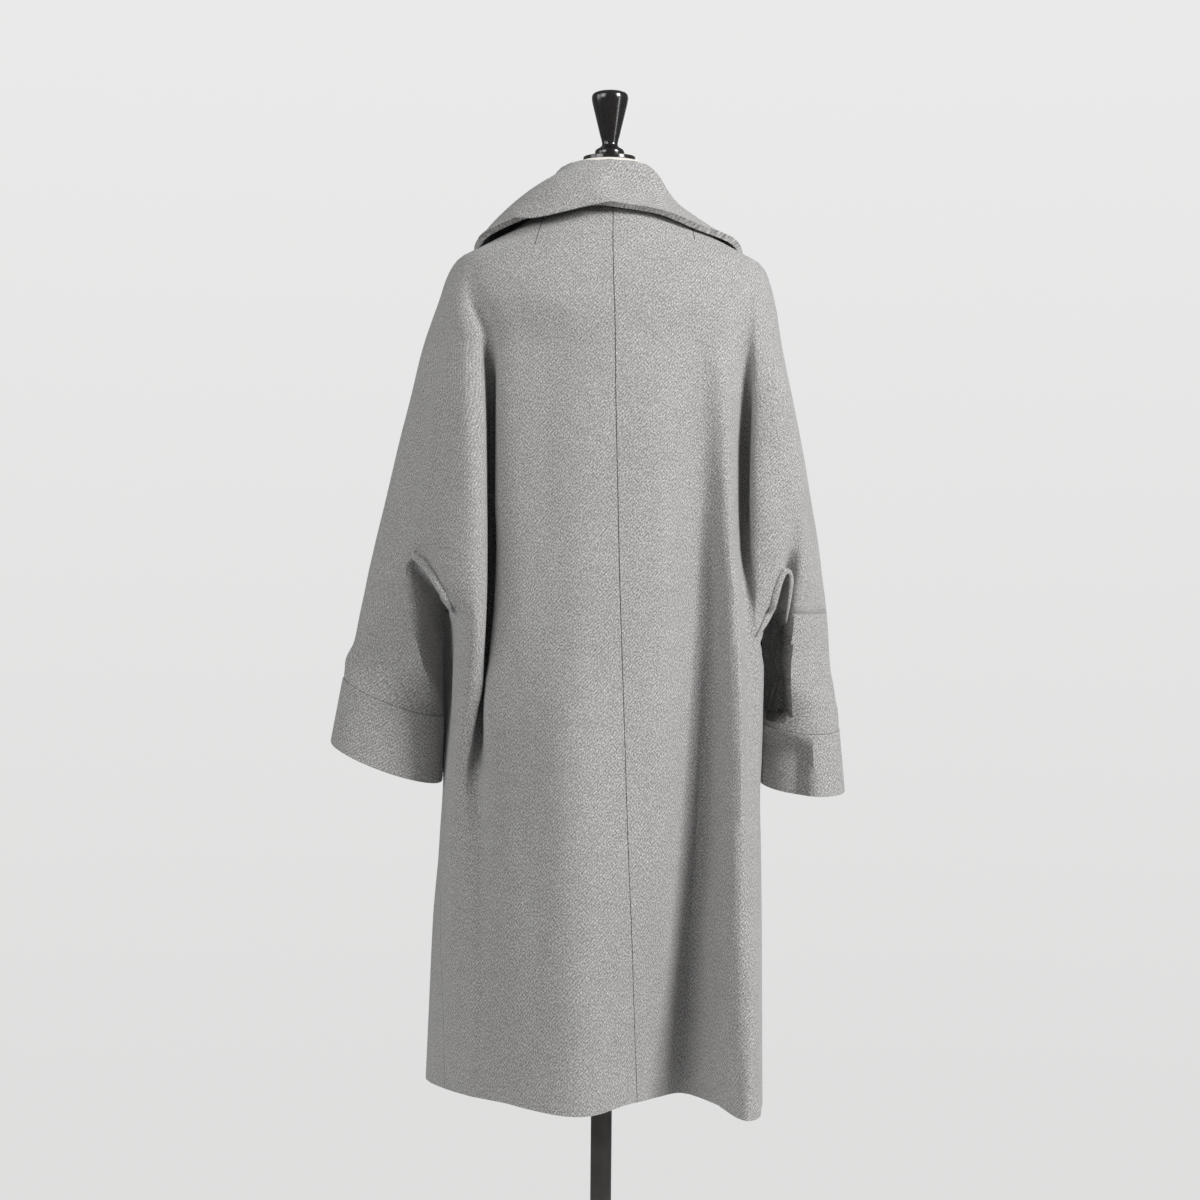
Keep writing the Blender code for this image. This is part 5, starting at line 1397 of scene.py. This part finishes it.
class Surface:
    """A Principled material that is put together node by node."""

    def __init__(self, name, colour, roughness, **constants):
        self.material = bpy.data.materials.new(name)
        self.material.use_nodes = True
        self.nodes, self.links = self.material.node_tree.nodes, self.material.node_tree.links
        self.shader = self.nodes["Principled BSDF"]
        self.shader.inputs["Base Color"].default_value = (*colour, 1.0)
        self.shader.inputs["Roughness"].default_value = roughness
        for socket, value in constants.items():
            self.shader.inputs[socket.replace("_", " ")].default_value = value

    def link(self, source, socket):
        self.links.new(source, socket)

    def place(self, turn=0.0, scale=(1, 1, 1), uv=True):
        """The place on the cloth, or in the object where uv is False, turned and scaled."""
        where = self.nodes.new("ShaderNodeTexCoord")
        mapping = self.nodes.new("ShaderNodeMapping")
        mapping.inputs["Rotation"].default_value = (0, 0, turn)
        mapping.inputs["Scale"].default_value = scale
        self.link(where.outputs["UV" if uv else "Object"], mapping.inputs["Vector"])
        return mapping.outputs["Vector"]

    def noise(self, vector, scale, detail=3.0, roughness=0.6):
        node = self.nodes.new("ShaderNodeTexNoise")
        node.inputs["Scale"].default_value = scale
        node.inputs["Detail"].default_value = detail
        node.inputs["Roughness"].default_value = roughness
        self.link(vector, node.inputs["Vector"])
        return node.outputs["Fac"]

    def bands(self, vector, period, distortion=0.0, detail_scale=1.0):
        """Soft bands with this period in metres, across the vector's X."""
        node = self.nodes.new("ShaderNodeTexWave")
        node.wave_type, node.bands_direction, node.wave_profile = "BANDS", "X", "SIN"
        node.inputs["Scale"].default_value = 2 * math.pi / (20 * period)
        node.inputs["Distortion"].default_value = distortion
        node.inputs["Detail"].default_value = 2.0
        node.inputs["Detail Scale"].default_value = detail_scale
        self.link(vector, node.inputs["Vector"])
        return node.outputs["Fac"]

    def ramp(self, factor, stops):
        node = self.nodes.new("ShaderNodeValToRGB")
        ramp = node.color_ramp
        while len(ramp.elements) < len(stops):
            ramp.elements.new(1.0)
        for element, (place, colour) in zip(ramp.elements, stops):
            element.position = place
            element.color = (*colour, 1.0)
        self.link(factor, node.inputs["Fac"])
        return node.outputs["Color"]

    def multiply(self, first, second):
        node = self.nodes.new("ShaderNodeMix")
        node.data_type, node.blend_type = "RGBA", "MULTIPLY"
        # its first input is the factor, and its seventh and eighth are the colours
        node.inputs[0].default_value = 1.0
        self.link(first, node.inputs[6])
        self.link(second, node.inputs[7])
        return node.outputs[2]

    def bump(self, *layers):
        """Stacks bumps, each a height's socket and its depth in metres."""
        before = None
        for height, depth in layers:
            node = self.nodes.new("ShaderNodeBump")
            node.inputs["Strength"].default_value = 1.0
            node.inputs["Distance"].default_value = depth
            self.link(height, node.inputs["Height"])
            if before:
                self.link(before, node.inputs["Normal"])
            before = node.outputs["Normal"]
        self.link(before, self.shader.inputs["Normal"])


def grey(level, warmth=0.0):
    """A grey's linear colour, a little warm."""
    return (level * (1 + warmth), level, level * (1 - warmth))


def make_wool():
    """Melange wool twill: fine lines that rise to the right, light and dark fibres, a brushed nap."""
    wool = Surface("grey_wool", grey(0.30), 0.92, Sheen_Weight=0.3, Sheen_Roughness=0.45,
                   Specular_IOR_Level=0.2)
    slant = math.radians(45)
    plain = wool.place()
    twill = wool.bands(wool.place(turn=slant), TWILL_PERIOD, distortion=2.2, detail_scale=2.0)
    fibres = wool.noise(wool.place(turn=slant, scale=(1.0, 0.45, 1.0)), 1300, 4.0, 0.75)
    specks = wool.noise(wool.place(turn=slant, scale=(1.0, 0.75, 1.0)), 560, 5.0, 0.8)
    nap = wool.noise(plain, 60, 4.0, 0.55)
    cloudy = wool.noise(plain, 9, 3.0, 0.5)
    base = wool.ramp(specks, ((0.36, grey(0.12, 0.03)), (0.5, grey(0.32, 0.018)), (0.64, grey(0.63, 0.01))))
    lines = wool.ramp(twill, ((0.0, grey(0.85)), (1.0, grey(1.12))))
    colour = wool.multiply(base, lines)
    speckle = wool.ramp(fibres, ((0.36, grey(0.72)), (0.5, grey(1.0)), (0.66, grey(1.26))))
    colour = wool.multiply(colour, speckle)
    colour = wool.multiply(colour, wool.ramp(nap, ((0.3, grey(0.94)), (0.7, grey(1.06)))))
    colour = wool.multiply(colour, wool.ramp(cloudy, ((0.3, grey(0.97)), (0.7, grey(1.03)))))
    wool.link(colour, wool.shader.inputs["Base Color"])
    wool.bump((nap, 0.5 * MM), (twill, 0.16 * MM), (specks, 0.3 * MM), (fibres, 0.16 * MM))
    return wool.material


def make_thread():
    """Dark grey sewing thread with fine strands."""
    thread = Surface("grey_thread", grey(0.24), 0.75, Sheen_Weight=0.1, Specular_IOR_Level=0.3)
    strands = thread.noise(thread.place(uv=False), 2500, 2.0)
    shades = thread.ramp(strands, ((0.3, grey(0.08)), (0.7, grey(0.15))))
    thread.link(shades, thread.shader.inputs["Base Color"])
    thread.bump((strands, 0.05 * MM))
    return thread.material


def make_seam_shade():
    """The same wool seen down in a seam, without sheen and painted dark: painted shade."""
    shade = Surface("grey_seam_painted_shade", grey(0.06), 0.95, Specular_IOR_Level=0.1)
    fibres = shade.noise(shade.place(uv=False), 900, 2.0)
    shade.link(shade.ramp(fibres, ((0.3, grey(0.04)), (0.7, grey(0.09)))), shade.shader.inputs["Base Color"])
    shade.bump((fibres, 0.1 * MM))
    return shade.material


def make_jersey():
    """Cream knit that covers the form: fine upright ribs and a slight unevenness."""
    jersey = Surface("cream_jersey", (0.80, 0.77, 0.70), 0.9, Sheen_Weight=0.15, Specular_IOR_Level=0.2)
    place = jersey.place(uv=False)
    uneven = jersey.noise(place, 14, 3.0)
    knit = jersey.noise(jersey.place(scale=(1.0, 1.0, 0.4), uv=False), 1800, 2.0, 0.7)
    colour = jersey.ramp(uneven, ((0.3, (0.76, 0.735, 0.665)), (0.7, (0.83, 0.805, 0.74))))
    shade = jersey.ramp(knit, ((0.3, grey(0.93)), (0.7, grey(1.04))))
    jersey.link(jersey.multiply(colour, shade), jersey.shader.inputs["Base Color"])
    jersey.bump((knit, 0.12 * MM), (uneven, 0.6 * MM))
    return jersey.material


def make_lacquer():
    """Black lacquer on turned wood: deep gloss with faint turning marks and dust."""
    lacquer = Surface("black_lacquered_wood", (0.012, 0.010, 0.010), 0.2, Coat_Weight=0.4,
                      Coat_Roughness=0.1)
    place = lacquer.place(uv=False)
    dust = lacquer.noise(place, 220, 4.0, 0.65)
    rings = lacquer.noise(lacquer.place(scale=(0.05, 0.05, 1.0), uv=False), 900, 2.0)
    lacquer.link(lacquer.ramp(dust, ((0.35, (0.009, 0.008, 0.008)), (0.75, (0.017, 0.015, 0.014)))),
                 lacquer.shader.inputs["Base Color"])
    rough = lacquer.ramp(dust, ((0.3, grey(0.18)), (0.75, grey(0.24))))
    lacquer.link(rough, lacquer.shader.inputs["Roughness"])
    lacquer.bump((rings, 0.004 * MM))
    return lacquer.material


def make_steel():
    """Dark painted steel: a fine orange peel and slightly worn patches."""
    steel = Surface("dark_steel", (0.06, 0.055, 0.052), 0.42, Metallic=0.35)
    place = steel.place(uv=False)
    worn = steel.noise(place, 26, 5.0, 0.6)
    peel = steel.noise(place, 500, 2.0)
    steel.link(steel.ramp(worn, ((0.3, (0.05, 0.046, 0.043)), (0.75, (0.085, 0.078, 0.074)))),
               steel.shader.inputs["Base Color"])
    steel.link(steel.ramp(worn, ((0.3, grey(0.36)), (0.75, grey(0.52)))), steel.shader.inputs["Roughness"])
    steel.bump((peel, 0.03 * MM))
    return steel.material


def area_light(name, place, target, size, power):
    light = bpy.data.lights.new(name, "AREA")
    light.shape = "RECTANGLE"
    light.size, light.size_y = size
    light.energy = power
    made = bpy.data.objects.new(name, light)
    made.location = place
    aim = Vector(target) - Vector(place)
    made.rotation_euler = aim.to_track_quat("-Z", "Y").to_euler()
    bpy.context.scene.collection.objects.link(made)


def make_studio():
    """A pale floor, soft light from the back's right and a pale backdrop from the world."""
    floor_mesh = bpy.data.meshes.new("floor")
    bm = bmesh.new()
    bmesh.ops.create_circle(bm, cap_ends=True, segments=96, radius=FLOOR_RADIUS)
    bm.to_mesh(floor_mesh)
    bm.free()
    floor = bpy.data.objects.new("floor", floor_mesh)
    floor.location.z = -FLOOR_DROP
    bpy.context.scene.collection.objects.link(floor)
    pale = Surface("pale_floor", grey(0.75), 0.7)
    spots = pale.noise(pale.place(uv=False), 6, 4.0)
    pale.link(pale.ramp(spots, ((0.3, grey(0.72)), (0.7, grey(0.78)))), pale.shader.inputs["Base Color"])
    floor_mesh.materials.append(pale.material)

    world = bpy.data.worlds.new("studio")
    bpy.context.scene.world = world
    world.use_nodes = True
    nodes, links = world.node_tree.nodes, world.node_tree.links
    nodes.clear()
    lit = nodes.new("ShaderNodeBackground")
    lit.inputs["Color"].default_value = (*grey(1.0), 1.0)
    lit.inputs["Strength"].default_value = WORLD_LIGHT
    seen = nodes.new("ShaderNodeBackground")
    seen.inputs["Strength"].default_value = 1.0
    # the backdrop is a little brighter higher up: a painted light gradient
    where = nodes.new("ShaderNodeTexCoord")
    split = nodes.new("ShaderNodeSeparateXYZ")
    links.new(where.outputs["Generated"], split.inputs[0])
    height = nodes.new("ShaderNodeMapRange")
    height.inputs["From Min"].default_value = -BACKDROP_REACH
    height.inputs["From Max"].default_value = BACKDROP_REACH
    links.new(split.outputs["Z"], height.inputs["Value"])
    shades = nodes.new("ShaderNodeValToRGB")
    shades.color_ramp.elements[0].color = (*grey(0.735, 0.004), 1.0)
    shades.color_ramp.elements[1].color = (*grey(0.82, 0.002), 1.0)
    links.new(height.outputs[0], shades.inputs["Fac"])
    links.new(shades.outputs["Color"], seen.inputs["Color"])
    path = nodes.new("ShaderNodeLightPath")
    mix = nodes.new("ShaderNodeMixShader")
    out = nodes.new("ShaderNodeOutputWorld")
    links.new(path.outputs["Is Camera Ray"], mix.inputs[0])
    links.new(lit.outputs[0], mix.inputs[1])
    links.new(seen.outputs[0], mix.inputs[2])
    links.new(mix.outputs[0], out.inputs[0])

    for name, (place, target, size, power) in LIGHTS.items():
        area_light(name, place, target, size, power)
    bpy.context.scene.view_settings.view_transform = "Standard"


def make_camera():
    camera = bpy.data.cameras.new("camera")
    camera.lens = CAMERA_LENS
    camera.sensor_width = CAMERA_SENSOR
    made = bpy.data.objects.new("camera", camera)
    aim = (Vector(CAMERA_TARGET) - Vector(CAMERA_PLACE)).to_track_quat("-Z", "Y").to_matrix().to_4x4()
    made.matrix_world = Matrix.Translation(CAMERA_PLACE) @ aim @ Matrix.Rotation(CAMERA_ROLL, 4, "Z")
    bpy.context.scene.collection.objects.link(made)
    bpy.context.scene.camera = made


def make_coat():
    """The coat's panels, collar and cuffs, each in place of its own solid, with their sewing."""
    # seam_shade is dark wool for the seams' grooves and the darts: painted shade
    wool, thread, seam_shade = make_wool(), make_thread(), make_seam_shade()
    skin = Skin(BACK_FACES, FRONT_FACES)
    fill_skin(skin)
    skin.points = list(eased_sleeves(skin))
    skin.points = list(hollowed(creased(skin.points, skin.normals())))
    normals, tree = skin.normals(), skin.tree()
    places = cloth_places(skin)
    for name in GRAIN_SIGN:
        cloth = make_panel(name, skin, normals, places, wool)
        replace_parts(cloth, name)
        rolls = []
        if name.startswith("back"):
            rolls = [make_roll(name.removeprefix("back_"), tree, wool).name]
    collar, grid, top, outward = make_collar(skin, normals, tree, wool)
    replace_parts(collar, "collar")
    turn_run = make_collar_turn(grid, outward, tree, wool)
    make_stitches("collar_stitches", collar_runs(top, outward) + [turn_run], thread)
    for side in ("left", "right"):
        cuff, outer, facing = make_cuff(side, skin, normals, wool)
        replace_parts(cuff, "cuff_" + side)
        stitches = "cuff_stitches_" + side
        make_stitches(stitches, cuff_runs(outer, facing), thread)
    make_stitches("front_stitches", front_edge_runs(skin, normals), thread)
    make_seams(skin, normals, seam_shade)
    make_darts(tree, seam_shade)


def capped(*rows):
    """An outline of these rows of height and radius that starts and ends on the axis."""
    return ((rows[0][0], 0.0), *rows, (rows[-1][0], 0.0))


def make_stand():
    """The dress form, its neck plate and finial, and the base with its socket and pole."""
    jersey, lacquer, steel = make_jersey(), make_lacquer(), make_steel()
    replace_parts(make_form(jersey), "form_body")
    outline = spline([(height * MM, radius * MM) for height, radius in FINIAL[:-1]],
                     [FINIAL_STEPS] * (len(FINIAL) - 2))
    outline = [(height, max(radius, 0.0)) for height, radius in outline] + [(FINIAL[-1][0] * MM, 0.0)]
    socket_foot = BASE_THICKNESS + CONTACT_GAP
    socket_top = BASE_THICKNESS + SOCKET_HEIGHT
    pole_foot, pole_top = socket_top + CONTACT_GAP, FORM_FOOT - CONTACT_GAP
    plate = capped((PLATE_TOP, PLATE_RADIUS), (PLATE_FOOT, PLATE_RADIUS))
    base = capped((BASE_THICKNESS, BASE_RADIUS), (0, BASE_RADIUS))
    socket = capped((socket_top, SOCKET_TOP_RADIUS), (socket_foot, SOCKET_FOOT_RADIUS))
    pole = capped((pole_top, POLE_RADIUS), (pole_foot, POLE_RADIUS))
    black, dark = (lacquer, "black_lacquered_wood"), (steel, "dark_steel")
    turned = (
        ("neck_plate_turned", "neck_plate", plate, ROUND_SIDES, *black, PLATE_ROUND),
        ("finial_turned", "finial", outline, FINIAL_SIDES, *black, 0.0),
        ("base_plate", "base", base, BASE_SIDES, *dark, BASE_ROUND),
        ("pole_collar", "pole_socket", socket, ROUND_SIDES, *dark, BASE_ROUND),
        ("pole_tube", "pole", pole, ROUND_SIDES, *dark, POLE_ROUND),
    )
    for name, node, profile, sides, surface, slot, width in turned:
        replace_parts(lathe(name, profile, sides, surface, width), node)


make_camera()
make_coat()
make_stand()
make_studio()
